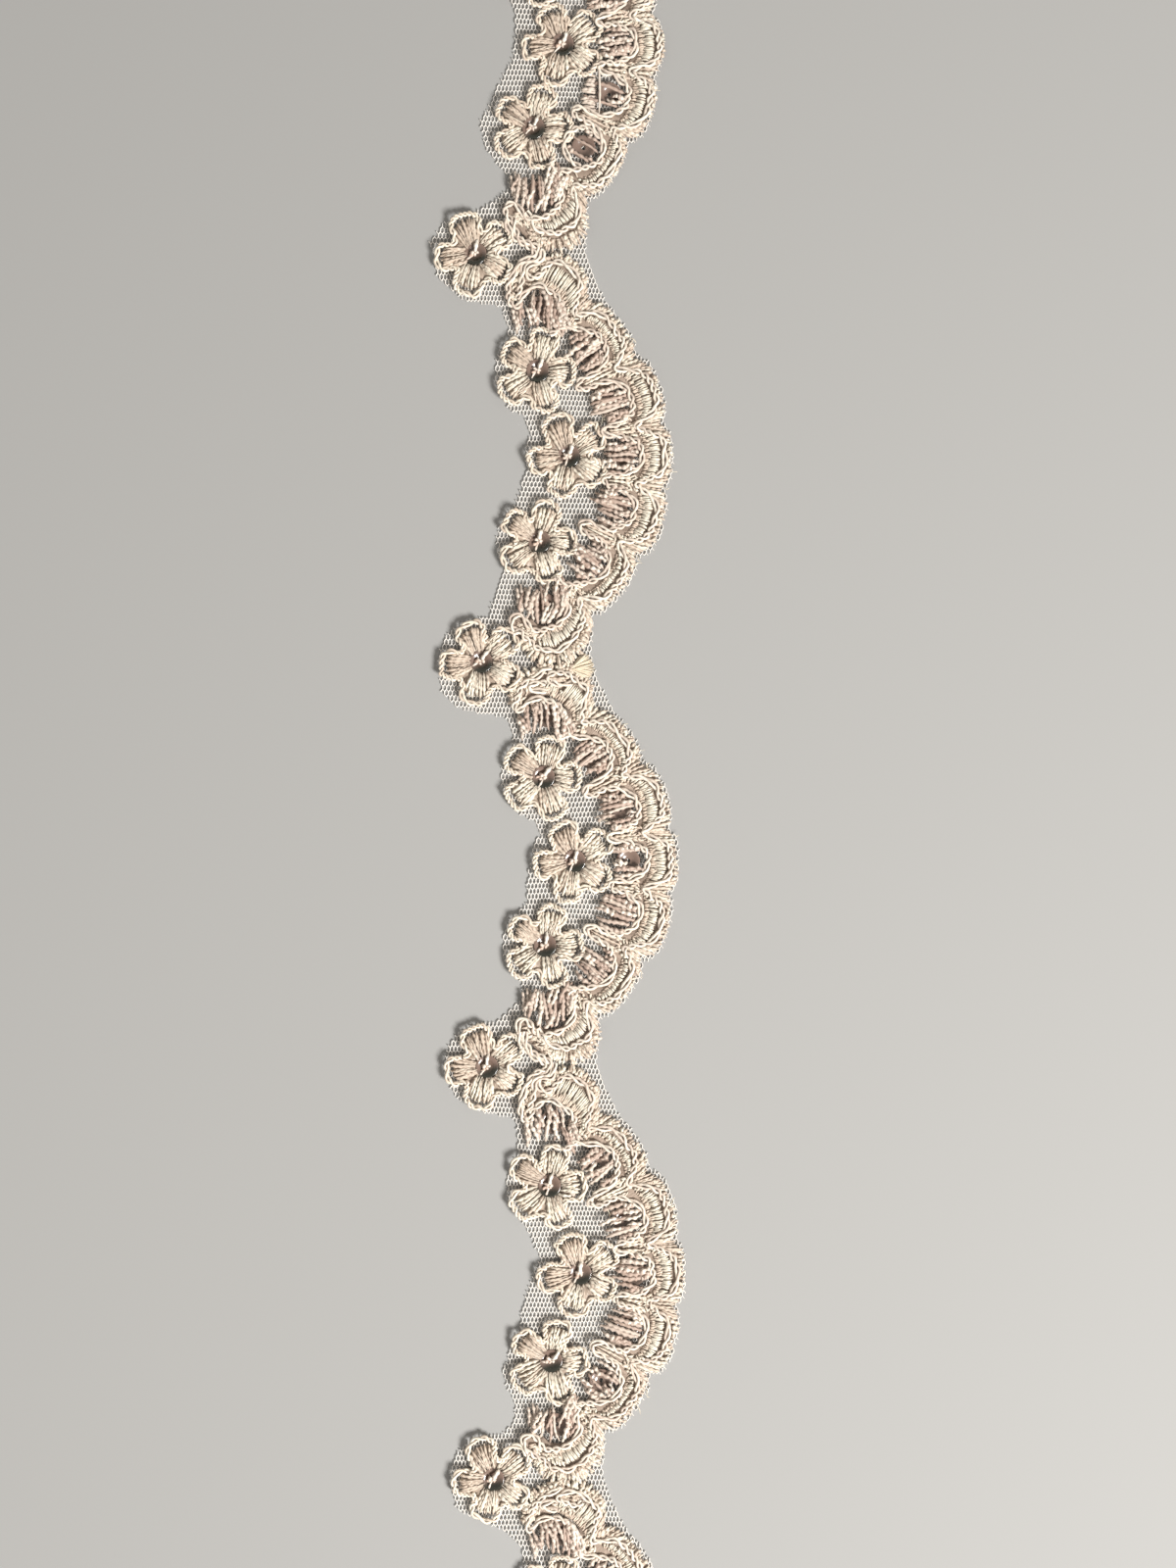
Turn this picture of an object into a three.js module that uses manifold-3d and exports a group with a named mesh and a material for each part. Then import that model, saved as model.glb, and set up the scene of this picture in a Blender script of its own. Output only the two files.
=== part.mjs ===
// Sequin trim: a cut length of embroidered net edging, lying flat with its right side up.
// A fine net ground carries a scalloped border of seven shells a repeat, a row of
// five-petalled flowers, and a sequin in each flower and in each shell's pocket.
// Millimetres. +X points to the scalloped edge, +Y up the length, +Z off the surface.
import * as THREE from 'three';
import Module from 'manifold-3d';

// Driving dimensions
const CUT_LENGTH = 330;
const REPEAT_LENGTH = 83.2;
const DRIFT = 1.2;

// Heights above the surface that the trim lies on
const GAP = 0.3;
const NET_TOP = 1.0;
const STITCH_BASE = NET_TOP + GAP;
const BAND_TOP = 1.95;
const CORD_TOP = 2.4;
const EDGING_TOP = 1.75;

// The border: shells stand along an arc round a point behind each repeat's middle
const ARC_ACROSS = -7.4;
const ARC_DOWN = REPEAT_LENGTH / 2;
const POCKET_RADIUS = 36.8;
const POCKET_HALF_WIDTH = 3.7;
const POCKET_CROWN = 3.6;
const TONGUE_TAPER = 3.0;
const CORD_AT_JOINT = 40.4;
const CORD_SQUARENESS = 2.6;
const EDGE_NOTCH = 1.8;
const ARM_ROUNDING = 1.2;
const VALLEY_HALF_GAP = 0.45;
const VALLEY_REACH = 23.0;
const VALLEY_SQUARENESS = 16;
const TIE_WIDTH = 8.6;
const TIE_ACROSS = 14.6;
const TIE_LENGTH = 2.6;
const TIE_BOTTOM = 1.42;
const TIE_TOP = 1.66;

// The flowers
const PETALS = 5;
const FLOWER_RADIUS = 8.3;
const FLOWER_NOTCH = 4.7;
const PETAL_SQUARENESS = 2.8;
const FLOWER_HOLE = 2.45;

// The sequins: small cups in the flowers, larger ones in the pockets
const FLOWER_SEQUIN = 2.1;
const POCKET_SEQUIN = 2.4;
const SEQUIN_HOLE = 0.45;
const SEQUIN_THICKNESS = 0.25;
const SEQUIN_CUP = 0.35;
const SEQUIN_SIDES = 8;
const CLEAR_OF_CUT = 5;

// Repeats from the top down. x and y place the outer flower, stretch is the length that the
// repeat has on the table, slip is how far its lower middle has slid down, if negative up, and
// reach is how much further than usual its edge stands out.
const REPEATS = [
  { name: 'a', x: -24.2, y: 191.0, stretch: 82.8, slip: -1.8, reach: -0.8 },
  { name: 'b', x: -23.0, y: 108.2, stretch: 83.2, slip: -0.5, reach: 0 },
  { name: 'c', x: -21.8, y: 25.0, stretch: 82.6, slip: -0.9, reach: 0 },
  { name: 'd', x: -20.6, y: -57.6, stretch: 84.2, slip: 0.1, reach: 0.2 },
  { name: 'e', x: -19.4, y: -141.8, stretch: 83.2, slip: 0, reach: 0 },
];

// Flowers of a repeat, measured from its outer flower. turn is the angle of one petal.
const FLOWERS = [
  { name: 'outer', across: 0, down: 0, turn: 183 },
  { name: 'upper', across: 12.4, down: 24.0, turn: 3 },
  { name: 'middle', across: 18.4, down: 41.6, turn: 180 },
  { name: 'lower', across: 12.2, down: 59.2, turn: 3 },
];

// Shells of a repeat. pocket, upper and lower are angles seen from the arc's centre, in degrees:
// the pocket's, and where the shell meets its neighbours. The rest are radii there: cord and edge
// at the shell's crest, upperTip and lowerTip where the tongue at each meeting ends. The end
// shells have no edge radius of their own, because their edge follows the valley.
const SHELLS = [
  { name: '1', pocket: 56, upper: 68, lower: 46.5, cord: 45.2, edge: 0, upperTip: 34.8, lowerTip: 36.8 },
  { name: '2', pocket: 36, upper: 46.5, lower: 26.7, cord: 44.2, edge: 46.0, upperTip: 36.8, lowerTip: 31.7 },
  { name: '3', pocket: 17, upper: 26.7, lower: 8.5, cord: 45.4, edge: 46.9, upperTip: 31.7, lowerTip: 33.7 },
  { name: '4', pocket: 0, upper: 8.5, lower: -8.5, cord: 45.5, edge: 47.0, upperTip: 33.7, lowerTip: 33.7 },
  { name: '5', pocket: -17, upper: -8.5, lower: -26.7, cord: 45.2, edge: 46.9, upperTip: 33.7, lowerTip: 31.7 },
  { name: '6', pocket: -36, upper: -26.7, lower: -46.5, cord: 44.0, edge: 45.6, upperTip: 31.7, lowerTip: 36.8 },
  { name: '7', pocket: -56, upper: -46.5, lower: -68, cord: 45.2, edge: 0, upperTip: 36.8, lowerTip: 34.8 },
];

// Where the net is cut on the flower side: a row for each height below the outer flower,
// with how far across the cut lies in each repeat. It was cut by hand and is uneven.
const LEFT_CUT = [
  { down: 3.4, a: -8.4, b: -8.5, c: -8.7, d: -8.2, e: -8.4 },
  { down: 6.6, a: -5.8, b: -5.8, c: -8.1, d: -5.4, e: -7.4 },
  { down: 9.2, a: 0, b: -2.6, c: -5.6, d: -1.6, e: -1.6 },
  { down: 10.6, a: 5.0, b: 5.0, c: -0.6, d: 5.2, e: 1.8 },
  { down: 11.4, a: 5.4, b: 5.4, c: 4.8, d: 5.6, e: 3.0 },
  { down: 14.4, a: 6.0, b: 6.2, c: 6.0, d: 6.0, e: 5.8 },
  { down: 17.6, a: 6.4, b: 6.6, c: 6.2, d: 5.8, e: 6.0 },
  { down: 31.4, a: 8.2, b: 6.0, c: 7.2, d: 6.4, e: 6.6 },
  { down: 33.0, a: 8.8, b: 9.6, c: 10.8, d: 7.6, e: 9.0 },
  { down: 38.6, a: 8.8, b: 11.2, c: 12.4, d: 10.2, e: 10.8 },
  { down: 43.0, a: 8.2, b: 10.2, c: 9.0, d: 8.6, e: 9.6 },
  { down: 49.2, a: 4.6, b: 8.0, c: 8.6, d: 6.4, e: 7.6 },
  { down: 52.4, a: 3.4, b: 7.2, c: 7.6, d: 6.2, e: 7.0 },
  { down: 56.0, a: 1.2, b: 6.0, c: 4.4, d: 5.6, e: 5.6 },
  { down: 61.6, a: 2.6, b: 5.6, c: 5.4, d: 2.0, e: 5.0 },
  { down: 64.0, a: 4.4, b: 5.2, c: 6.2, d: 2.8, e: 5.0 },
  { down: 67.0, a: 6.8, b: 4.0, c: 7.4, d: 4.0, e: 5.4 },
  { down: 69.4, a: 7.2, b: 3.2, c: 7.4, d: 4.8, e: 4.8 },
  { down: 72.0, a: 4.2, b: 2.2, c: 4.4, d: 4.2, e: 3.4 },
  { down: 74.4, a: 0.2, b: 1.8, c: 1.6, d: 2.0, e: 1.8 },
  { down: 76.6, a: -6.4, b: -5.6, c: -4.6, d: -4.6, e: -4.6 },
  { down: 80.2, a: -9.0, b: -7.8, c: -7.6, d: -7.6, e: -7.6 },
  { down: 81.6, a: -9.8, b: -8.4, c: -8.2, d: -8.2, e: -8.2 },
];

// The net that is left on the scalloped side, above the second shell of every repeat
const RIGHT_CUT = [
  { down: 0, across: 22.6 },
  { down: 4.4, across: 24.0 },
  { down: 10.0, across: 26.8 },
  { down: 14.4, across: 29.6 },
  { down: 20.4, across: 32.8 },
  { down: 24.8, across: 36.2 },
  { down: 28.0, across: 38.2 },
];
const NET_STEP = 2.2;
const NET_MARGIN = 0.35;
const NET_LOOK = 0.3;
const FLOWER_NET_MARGIN = 0.5;
const EDGE_SAMPLES = 160;
const LIMIT_WIDTH = 200;

const radians = THREE.MathUtils.degToRad;

const wasm = await Module();
wasm.setup();

const finishes = {
  net: () => new THREE.MeshStandardMaterial({ color: 0xcfc8c0, roughness: 0.8, metalness: 0 }),
  thread: () => new THREE.MeshStandardMaterial({ color: 0xd6c3b2, roughness: 0.45, metalness: 0 }),
  sequin: () => new THREE.MeshStandardMaterial({ color: 0x7d6a60, roughness: 0.15, metalness: 0 }),
};

// A place on the table, from a repeat and the distances across and down from its outer flower.
function place(repeat, across, down) {
  const share = THREE.MathUtils.clamp(down / REPEAT_LENGTH, 0, 1);
  const along = (down * repeat.stretch) / REPEAT_LENGTH;
  const slid = repeat.slip * Math.sin(Math.PI * share * share);
  return new THREE.Vector2(
    repeat.x + across + (DRIFT * down) / REPEAT_LENGTH,
    repeat.y - along - slid,
  );
}

function placeOnArc(repeat, degrees, radius) {
  const angle = radians(degrees);
  return place(
    repeat,
    ARC_ACROSS + radius * Math.cos(angle),
    ARC_DOWN - radius * Math.sin(angle),
  );
}

// A value between the rows of a table, or the end row's beyond them.
function between(rows, down, column) {
  const next = rows.findIndex((row) => row.down > down);
  if (next === 0) return rows[0][column];
  if (next < 0) return rows[rows.length - 1][column];
  const upper = rows[next - 1];
  const lower = rows[next];
  const share = (down - upper.down) / (lower.down - upper.down);
  return THREE.MathUtils.lerp(upper[column], lower[column], share);
}

// A closed solid through a row of closed sections with equal numbers of points. The row either
// closes on itself or ends in two flat caps.
function solidThrough(sections, closesOnItself) {
  const count = sections[0].length;
  const points = sections.flat();
  const faces = [];
  const last = closesOnItself ? sections.length : sections.length - 1;
  for (let i = 0; i < last; i += 1) {
    const here = i * count;
    const there = ((i + 1) % sections.length) * count;
    for (let j = 0; j < count; j += 1) {
      const k = (j + 1) % count;
      faces.push([here + j, there + j, there + k], [here + j, there + k, here + k]);
    }
  }
  if (!closesOnItself) {
    const first = sections[0];
    const flat = first.map((p) => new THREE.Vector2(Math.hypot(p.x - first[0].x, p.y - first[0].y), p.z));
    const end = (sections.length - 1) * count;
    for (const [a, b, c] of THREE.ShapeUtils.triangulateShape(flat, [])) {
      faces.push([a, b, c], [end + c, end + b, end + a]);
    }
  }
  return facingOut(points, faces);
}

// The same solid with its faces turned outwards.
function facingOut(points, faces) {
  const volume = faces.reduce(
    (sum, [a, b, c]) => sum + points[a].dot(points[b].clone().cross(points[c])),
    0,
  );
  const turned = volume < 0 ? faces.map(([a, b, c]) => [a, c, b]) : faces;
  const geometry = new THREE.BufferGeometry().setFromPoints(points);
  geometry.setIndex(turned.flat());
  return geometry;
}

function toManifold(geometry) {
  return new wasm.Manifold(new wasm.Mesh({
    numProp: 3,
    vertProperties: new Float32Array(geometry.attributes.position.array),
    triVerts: new Uint32Array(geometry.index.array),
  }));
}

function fromManifold(solid) {
  const mesh = solid.getMesh();
  const geometry = new THREE.BufferGeometry();
  geometry.setAttribute('position', new THREE.BufferAttribute(mesh.vertProperties, 3));
  geometry.setIndex(new THREE.BufferAttribute(mesh.triVerts, 1));
  return geometry;
}

// A box as a solid: its corners are merged, so that it is closed.
function boxSolid(box) {
  const { position } = box.attributes;
  const corners = new Map();
  const points = [];
  const corner = (i) => {
    const point = new THREE.Vector3().fromBufferAttribute(position, i);
    const key = point.toArray().join();
    if (!corners.has(key)) {
      corners.set(key, points.length);
      points.push(point);
    }
    return corners.get(key);
  };
  const faces = [];
  for (let i = 0; i < box.index.count; i += 3) {
    faces.push([0, 1, 2].map((k) => corner(box.index.getX(i + k))));
  }
  return toManifold(facingOut(points, faces));
}

// Border

// The border's radii at an angle inside one shell: its inner face, its outer cord and its edge.
function bordersAt(repeat, shell, degrees) {
  const above = degrees > shell.pocket;
  const joint = above ? shell.upper : shell.lower;
  const share = Math.min(1, (degrees - shell.pocket) / (joint - shell.pocket));
  const isEnd = (above && shell.name === '1') || (!above && shell.name === '7');
  const notch = isEnd ? ARM_ROUNDING : EDGE_NOTCH * Math.sign(shell.edge);
  const swell = (1 - share ** CORD_SQUARENESS) ** (1 / CORD_SQUARENESS);
  return {
    inner: innerFace(shell, degrees, above, joint),
    cord: CORD_AT_JOINT + (shell.cord - CORD_AT_JOINT) * swell,
    edge: edgeCrest(repeat, shell, degrees) - notch * share ** 4,
  };
}

// Where the edge would stand without its notches. An end shell's follows the valley: straight out
// along the meeting of the repeats, then round the corner.
function edgeCrest(repeat, shell, degrees) {
  if (shell.edge) return shell.edge + repeat.reach;
  const beside = Math.cos(radians(degrees)) / (VALLEY_REACH - ARC_ACROSS);
  const along = Math.abs(Math.sin(radians(degrees))) / (ARC_DOWN - VALLEY_HALF_GAP);
  return (beside ** VALLEY_SQUARENESS + along ** VALLEY_SQUARENESS) ** (-1 / VALLEY_SQUARENESS);
}

// The inner face arches over the pocket, then runs in to the tapered tongue beside it.
function innerFace(shell, degrees, above, joint) {
  const aside = Math.abs(radians(degrees - shell.pocket)) * POCKET_RADIUS;
  if (aside < POCKET_HALF_WIDTH + 1e-6) {
    return POCKET_RADIUS + POCKET_CROWN * Math.sqrt(Math.max(0, 1 - (aside / POCKET_HALF_WIDTH) ** 2));
  }
  const tongue = Math.abs(radians(joint - shell.pocket)) * POCKET_RADIUS - POCKET_HALF_WIDTH;
  const fromJoint = 1 - (aside - POCKET_HALF_WIDTH) / tongue;
  const tip = above ? shell.upperTip : shell.lowerTip;
  return Math.min(POCKET_RADIUS, tip + TONGUE_TAPER * fromJoint ** 2);
}

// The angles at which the border is built, closer together at the sides of each pocket.
function borderStations(shell) {
  const half = THREE.MathUtils.radToDeg(POCKET_HALF_WIDTH / POCKET_RADIUS);
  const side = THREE.MathUtils.radToDeg((POCKET_HALF_WIDTH + 0.15) / POCKET_RADIUS);
  const shares = [1, 0.85, 0.5];
  return [
    shell.upper,
    (shell.upper + shell.pocket + side) / 2,
    shell.pocket + side,
    ...shares.map((share) => shell.pocket + half * share),
    shell.pocket,
    ...shares.map((share) => shell.pocket - half * share).reverse(),
    shell.pocket - side,
    (shell.lower + shell.pocket - side) / 2,
  ];
}

// One section across the border: inner cord, satin band, outer cord and short-stitched edging.
function borderSection(repeat, shell, degrees) {
  const { inner, cord, edge } = bordersAt(repeat, shell, degrees);
  const band = Math.max(cord - 0.7, inner + 1.4);
  const profile = [
    [inner, STITCH_BASE],
    [edge, STITCH_BASE],
    [edge, EDGING_TOP],
    [Math.max(cord, band + 0.3), CORD_TOP],
    [band, BAND_TOP],
    [inner + 1.0, BAND_TOP],
    [inner + 0.45, CORD_TOP - 0.1],
    [inner, BAND_TOP - 0.15],
  ];
  return profile.map(([radius, z]) => {
    const spot = placeOnArc(repeat, degrees, radius);
    return new THREE.Vector3(spot.x, spot.y, z);
  });
}

function repeatBorder(repeat) {
  const sections = SHELLS.flatMap((shell) => (
    borderStations(shell).map((degrees) => borderSection(repeat, shell, degrees))
  ));
  const last = SHELLS[SHELLS.length - 1];
  sections.push(borderSection(repeat, last, last.lower));
  return toManifold(solidThrough(sections, false));
}

// The short stitches that tie a repeat's last shell to the next repeat's first.
function valleyTie(repeat) {
  const spot = place(repeat, TIE_ACROSS, 0);
  const block = new THREE.BoxGeometry(TIE_WIDTH, TIE_LENGTH, TIE_TOP - TIE_BOTTOM);
  block.translate(spot.x, spot.y, (TIE_TOP + TIE_BOTTOM) / 2);
  return boxSolid(block);
}

// Flowers

// A petal's outline: full in its middle, with round shoulders that fall to the notch beside it.
function petalReach(angle) {
  const sector = (2 * Math.PI) / PETALS;
  const aside = Math.abs(angle - sector * Math.round(angle / sector)) / (sector / 2);
  const fullness = (1 - Math.min(1, aside) ** PETAL_SQUARENESS) ** (1 / PETAL_SQUARENESS);
  return FLOWER_NOTCH + (FLOWER_RADIUS - FLOWER_NOTCH) * fullness;
}

// The angles round a flower at which it is built: the notches, and each petal's shoulders.
function flowerStations() {
  const sector = (2 * Math.PI) / PETALS;
  const shares = [-0.5, -0.38, -0.14, 0.14, 0.38];
  return [...Array(PETALS).keys()].flatMap((petal) => shares.map((share) => (petal + share) * sector));
}

// A ring of sections round a centre, each a list of radius and height, turned by some degrees.
function ringSolid(centre, turn, angles, profileAt) {
  const sections = angles.map((angle) => {
    const direction = angle + radians(turn);
    return profileAt(angle).map(([radius, z]) => new THREE.Vector3(
      centre.x + radius * Math.cos(direction),
      centre.y + radius * Math.sin(direction),
      z,
    ));
  });
  return solidThrough(sections, true);
}

// Satin petals round an eyelet, hollow in their middles, with a cord raised along the outline.
function flowerSolid(centre, turn) {
  return toManifold(ringSolid(centre, turn, flowerStations(), (angle) => {
    const reach = petalReach(angle);
    return [
      [FLOWER_HOLE, STITCH_BASE],
      [reach, STITCH_BASE],
      [reach, BAND_TOP],
      [reach - 0.5, CORD_TOP - 0.1],
      [reach - 1.3, BAND_TOP - 0.2],
      [FLOWER_HOLE, BAND_TOP],
    ];
  }));
}

// Sequins

// A shallow cup with a hole in its middle.
function sequinSolid(centre, radius) {
  const angles = [...Array(SEQUIN_SIDES).keys()].map((side) => (side * 2 * Math.PI) / SEQUIN_SIDES);
  const profile = [
    [SEQUIN_HOLE, STITCH_BASE],
    [radius, STITCH_BASE + SEQUIN_CUP],
    [radius, STITCH_BASE + SEQUIN_CUP + SEQUIN_THICKNESS],
    [SEQUIN_HOLE, STITCH_BASE + SEQUIN_THICKNESS],
  ];
  return ringSolid(centre, 0, angles, () => profile);
}

// Net ground

// How far across the net reaches on the flower side: to its cut, or round a flower that stands out.
function netLeft(y) {
  const reach = FLOWER_RADIUS + FLOWER_NET_MARGIN;
  let least = Infinity;
  for (const repeat of REPEATS) {
    const down = ((repeat.y - y) * REPEAT_LENGTH) / repeat.stretch;
    if (down >= LEFT_CUT[0].down && down <= LEFT_CUT[LEFT_CUT.length - 1].down) {
      const cut = between(LEFT_CUT, down, repeat.name);
      least = Math.min(least, repeat.x + cut + (DRIFT * down) / REPEAT_LENGTH);
    }
    for (const flower of FLOWERS) {
      const centre = place(repeat, flower.across, flower.down);
      const beside = reach ** 2 - (y - centre.y) ** 2;
      if (beside > 0) least = Math.min(least, centre.x - Math.sqrt(beside));
    }
  }
  return least;
}

// The border's edge in one repeat, as places along it.
function edgePlaces(repeat) {
  const first = SHELLS[0].upper;
  return [...Array(EDGE_SAMPLES + 1).keys()].map((i) => {
    const degrees = first - (2 * first * i) / EDGE_SAMPLES;
    const shell = SHELLS.find(({ lower }) => degrees >= lower - 1e-6);
    return placeOnArc(repeat, degrees, bordersAt(repeat, shell, degrees).edge + NET_MARGIN);
  });
}

// How far across the net reaches on the scalloped side: to the border's edge, or to the cut.
function netRight(y, edges) {
  const near = edges.filter((spot) => Math.abs(spot.y - y) < NET_STEP / 2 + NET_LOOK);
  let most = Math.max(...near.map((spot) => spot.x));
  for (const repeat of REPEATS) {
    const down = ((repeat.y - y) * REPEAT_LENGTH) / repeat.stretch;
    const last = RIGHT_CUT[RIGHT_CUT.length - 1].down;
    if (down >= -4 && down <= last) {
      const cut = between(RIGHT_CUT, down, 'across');
      most = Math.max(most, repeat.x + cut + (DRIFT * down) / REPEAT_LENGTH);
    }
  }
  return most;
}

function netSolid() {
  const edges = REPEATS.flatMap(edgePlaces);
  const steps = Math.round(CUT_LENGTH / NET_STEP);
  const sections = [...Array(steps + 1).keys()].map((i) => {
    const y = CUT_LENGTH / 2 - (CUT_LENGTH * i) / steps;
    const left = netLeft(y);
    const right = netRight(y, edges);
    return [
      new THREE.Vector3(left, y, 0),
      new THREE.Vector3(right, y, 0),
      new THREE.Vector3(right, y, NET_TOP),
      new THREE.Vector3(left, y, NET_TOP),
    ];
  });
  return solidThrough(sections, false);
}

// Assembly

const trim = new THREE.Group();
const limit = boxSolid(new THREE.BoxGeometry(LIMIT_WIDTH, CUT_LENGTH, LIMIT_WIDTH));

function add(name, geometry, finish) {
  const mesh = new THREE.Mesh(geometry, finishes[finish]());
  mesh.name = name;
  trim.add(mesh);
}

// The flowers. Of one that a cut end goes through, the largest part stays.
function addFlowers(repeat) {
  for (const flower of FLOWERS) {
    const centre = place(repeat, flower.across, flower.down);
    const left = flowerSolid(centre, flower.turn).intersect(limit).decompose();
    left.sort((one, other) => other.volume() - one.volume());
    if (left.length > 0) add(`flower_${repeat.name}_${flower.name}`, fromManifold(left[0]), 'thread');
  }
}

// A sequin, unless it lies so near a cut end that its thread was cut too.
function addSequin(name, centre, radius) {
  if (Math.abs(centre.y) > CUT_LENGTH / 2 - CLEAR_OF_CUT) return;
  add(name, sequinSolid(centre, radius), 'sequin');
}

add('net_ground', netSolid(), 'net');

const border = [...REPEATS.map(repeatBorder), ...REPEATS.slice(1).map(valleyTie)]
  .reduce((whole, next) => whole.add(next));
add('shell_border', fromManifold(border.intersect(limit)), 'thread');

for (const repeat of REPEATS) {
  addFlowers(repeat);
  for (const flower of FLOWERS) {
    const centre = place(repeat, flower.across, flower.down);
    addSequin(`sequin_flower_${repeat.name}_${flower.name}`, centre, FLOWER_SEQUIN);
  }
  for (const shell of SHELLS) {
    const centre = placeOnArc(repeat, shell.pocket, POCKET_RADIUS);
    addSequin(`sequin_shell_${repeat.name}_${shell.name}`, centre, POCKET_SEQUIN);
  }
}

// The origin is under the middle of the whole trim, on the surface it lies on.
const middle = new THREE.Box3().setFromObject(trim).getCenter(new THREE.Vector3());
for (const mesh of trim.children) mesh.position.set(-middle.x, -middle.y, 0);

export default trim;
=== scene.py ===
"""Sequin trim: a length of embroidered net edging, laid flat with its right side up.

The pattern is worked out in millimetres on the table, and add_piece turns it into metres.
"""

import bpy
import numpy as np
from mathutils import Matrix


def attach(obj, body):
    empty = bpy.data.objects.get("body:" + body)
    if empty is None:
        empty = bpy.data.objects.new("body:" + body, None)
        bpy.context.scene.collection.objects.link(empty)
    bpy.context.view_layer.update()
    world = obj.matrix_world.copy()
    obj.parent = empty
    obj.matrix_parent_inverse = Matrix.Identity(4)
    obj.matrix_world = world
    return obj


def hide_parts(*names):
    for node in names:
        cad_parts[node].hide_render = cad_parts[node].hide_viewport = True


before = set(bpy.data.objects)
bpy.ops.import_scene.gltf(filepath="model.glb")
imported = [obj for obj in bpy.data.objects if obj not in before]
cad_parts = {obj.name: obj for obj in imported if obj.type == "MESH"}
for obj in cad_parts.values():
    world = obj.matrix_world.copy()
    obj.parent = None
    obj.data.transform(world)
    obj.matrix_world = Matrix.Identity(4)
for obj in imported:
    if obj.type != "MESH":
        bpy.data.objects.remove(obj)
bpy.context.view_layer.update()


# Stitched ground of the shells. A dense layer of tan bobbin thread that holds each shell
# together, worked through the net and seen from below and between the satin stitches. Its
# colour is painted about halfway to the shade colour, as the shade between the stitches.
MIDDLE_SHIFT = 6.276
REPEAT = 83.2
ARC_ACROSS = -7.4
ARC_DOWN = 41.6
# A repeat's outer flower lies at x and y. Its length is the stretch, its lower middle is
# slid by the slip, and its edge stands further out by the reach.
REPEATS = {
    "a": {"x": -24.2, "y": 191.0, "stretch": 82.8, "slip": -1.8, "reach": -0.8},
    "b": {"x": -23.0, "y": 108.2, "stretch": 83.2, "slip": -0.5, "reach": 0.0},
    "c": {"x": -21.8, "y": 25.0, "stretch": 82.6, "slip": -0.9, "reach": 0.0},
    "d": {"x": -20.6, "y": -57.6, "stretch": 84.2, "slip": 0.1, "reach": 0.2},
    "e": {"x": -19.4, "y": -141.8, "stretch": 83.2, "slip": 0.0, "reach": 0.0},
}
# By shell, from the upper one to the lower: the angles of its pocket and of the joints
# above and below it, the radii of its cord and its edge, and of the tongues beside it.
POCKET = np.array([56, 36, 17, 0, -17, -36, -56.0])
UPPER = np.array([68, 46.5, 26.7, 8.5, -8.5, -26.7, -46.5])
LOWER = np.array([46.5, 26.7, 8.5, -8.5, -26.7, -46.5, -68])
CORD = np.array([45.2, 44.2, 45.4, 45.5, 45.2, 44.0, 45.2])
EDGE = np.array([0, 46.0, 46.9, 47.0, 46.9, 45.6, 0])
UPPER_TIP = np.array([34.8, 36.8, 31.7, 33.7, 33.7, 31.7, 36.8])
LOWER_TIP = np.array([36.8, 31.7, 33.7, 33.7, 31.7, 36.8, 34.8])
POCKET_RADIUS = 36.8
POCKET_HALF = 3.7
HALF_LENGTH = 165.0
# Above and below a repeat the shells of two repeats meet, or stand apart with net between.
VALLEY_ABOVE = dict(a="apart", b="meeting", c="apart", d="meeting", e="apart")
VALLEY_BELOW = dict(a="meeting", b="apart", c="meeting", d="apart", e="meeting")


def place(repeat, spots):
    """Spots on the table for spots across and down from a repeat's outer flower. The trim
    drifts 1.2 mm across in each repeat, and its lower middle is slid along by the slip, as
    a half wave of the square of the share of the repeat."""
    across, down = np.moveaxis(np.asarray(spots, float), -1, 0)
    share = np.clip(down / REPEAT, 0, 1)
    x = repeat["x"] + across + 1.2 * down / REPEAT + MIDDLE_SHIFT
    slid = repeat["slip"] * np.sin(np.pi * share**2)
    y = repeat["y"] - down * repeat["stretch"] / REPEAT - slid
    return np.stack([x, y], -1)


def off_centre(degrees, radius):
    """Spots across and down from the outer flower, for angles and distances from the
    centre of the arc of shells."""
    angle, radius = np.radians(degrees), np.asarray(radius)
    spots = [ARC_ACROSS + radius * np.cos(angle), ARC_DOWN - radius * np.sin(angle)]
    return np.stack(spots, -1)


def on_arc(repeat, degrees, radius):
    """The same spots, on the table."""
    return place(repeat, off_centre(degrees, radius))


def border_radii(repeat, degrees):
    """The radii of the shells' inner face and edge at some angles. The face is a half
    ellipse over each pocket that runs in to the tongue beside it. The edge is notched at
    the joints by the fourth power of the share of the way from the pocket, and follows
    the straight valley at the ends."""
    degrees = np.asarray(degrees, float)
    shell = np.clip(np.searchsorted(-LOWER, -degrees), 0, 6)
    above = degrees > POCKET[shell]
    joint = np.where(above, UPPER[shell], LOWER[shell])
    share = np.clip((degrees - POCKET[shell]) / (joint - POCKET[shell]), 0, 1)
    beside = np.cos(np.radians(degrees)) / 30.4
    along = np.abs(np.sin(np.radians(degrees))) / 41.15
    valley = (beside**16 + along**16) ** (-1 / 16)
    valley = np.minimum(valley, CORD[shell] + 3)
    crest = np.where(EDGE[shell] > 0, EDGE[shell] + repeat["reach"], valley)
    at_end = (shell == 0) & above | (shell == 6) & ~above
    notch = np.where(at_end, 1.2, np.where(EDGE[shell] > 0, 1.8, 0))
    edge = crest - notch * share**4
    aside = np.abs(np.radians(degrees - POCKET[shell])) * POCKET_RADIUS
    arch = POCKET_RADIUS + 3.6 * np.sqrt(np.clip(1 - (aside / POCKET_HALF) ** 2, 0, 1))
    tongue = np.abs(np.radians(joint - POCKET[shell])) * POCKET_RADIUS - POCKET_HALF
    tip = np.where(above, UPPER_TIP[shell], LOWER_TIP[shell])
    side = np.minimum(POCKET_RADIUS, tip + 3 * (1 - (aside - POCKET_HALF) / tongue) ** 2)
    return np.where(aside < POCKET_HALF, arch, side), edge


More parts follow.
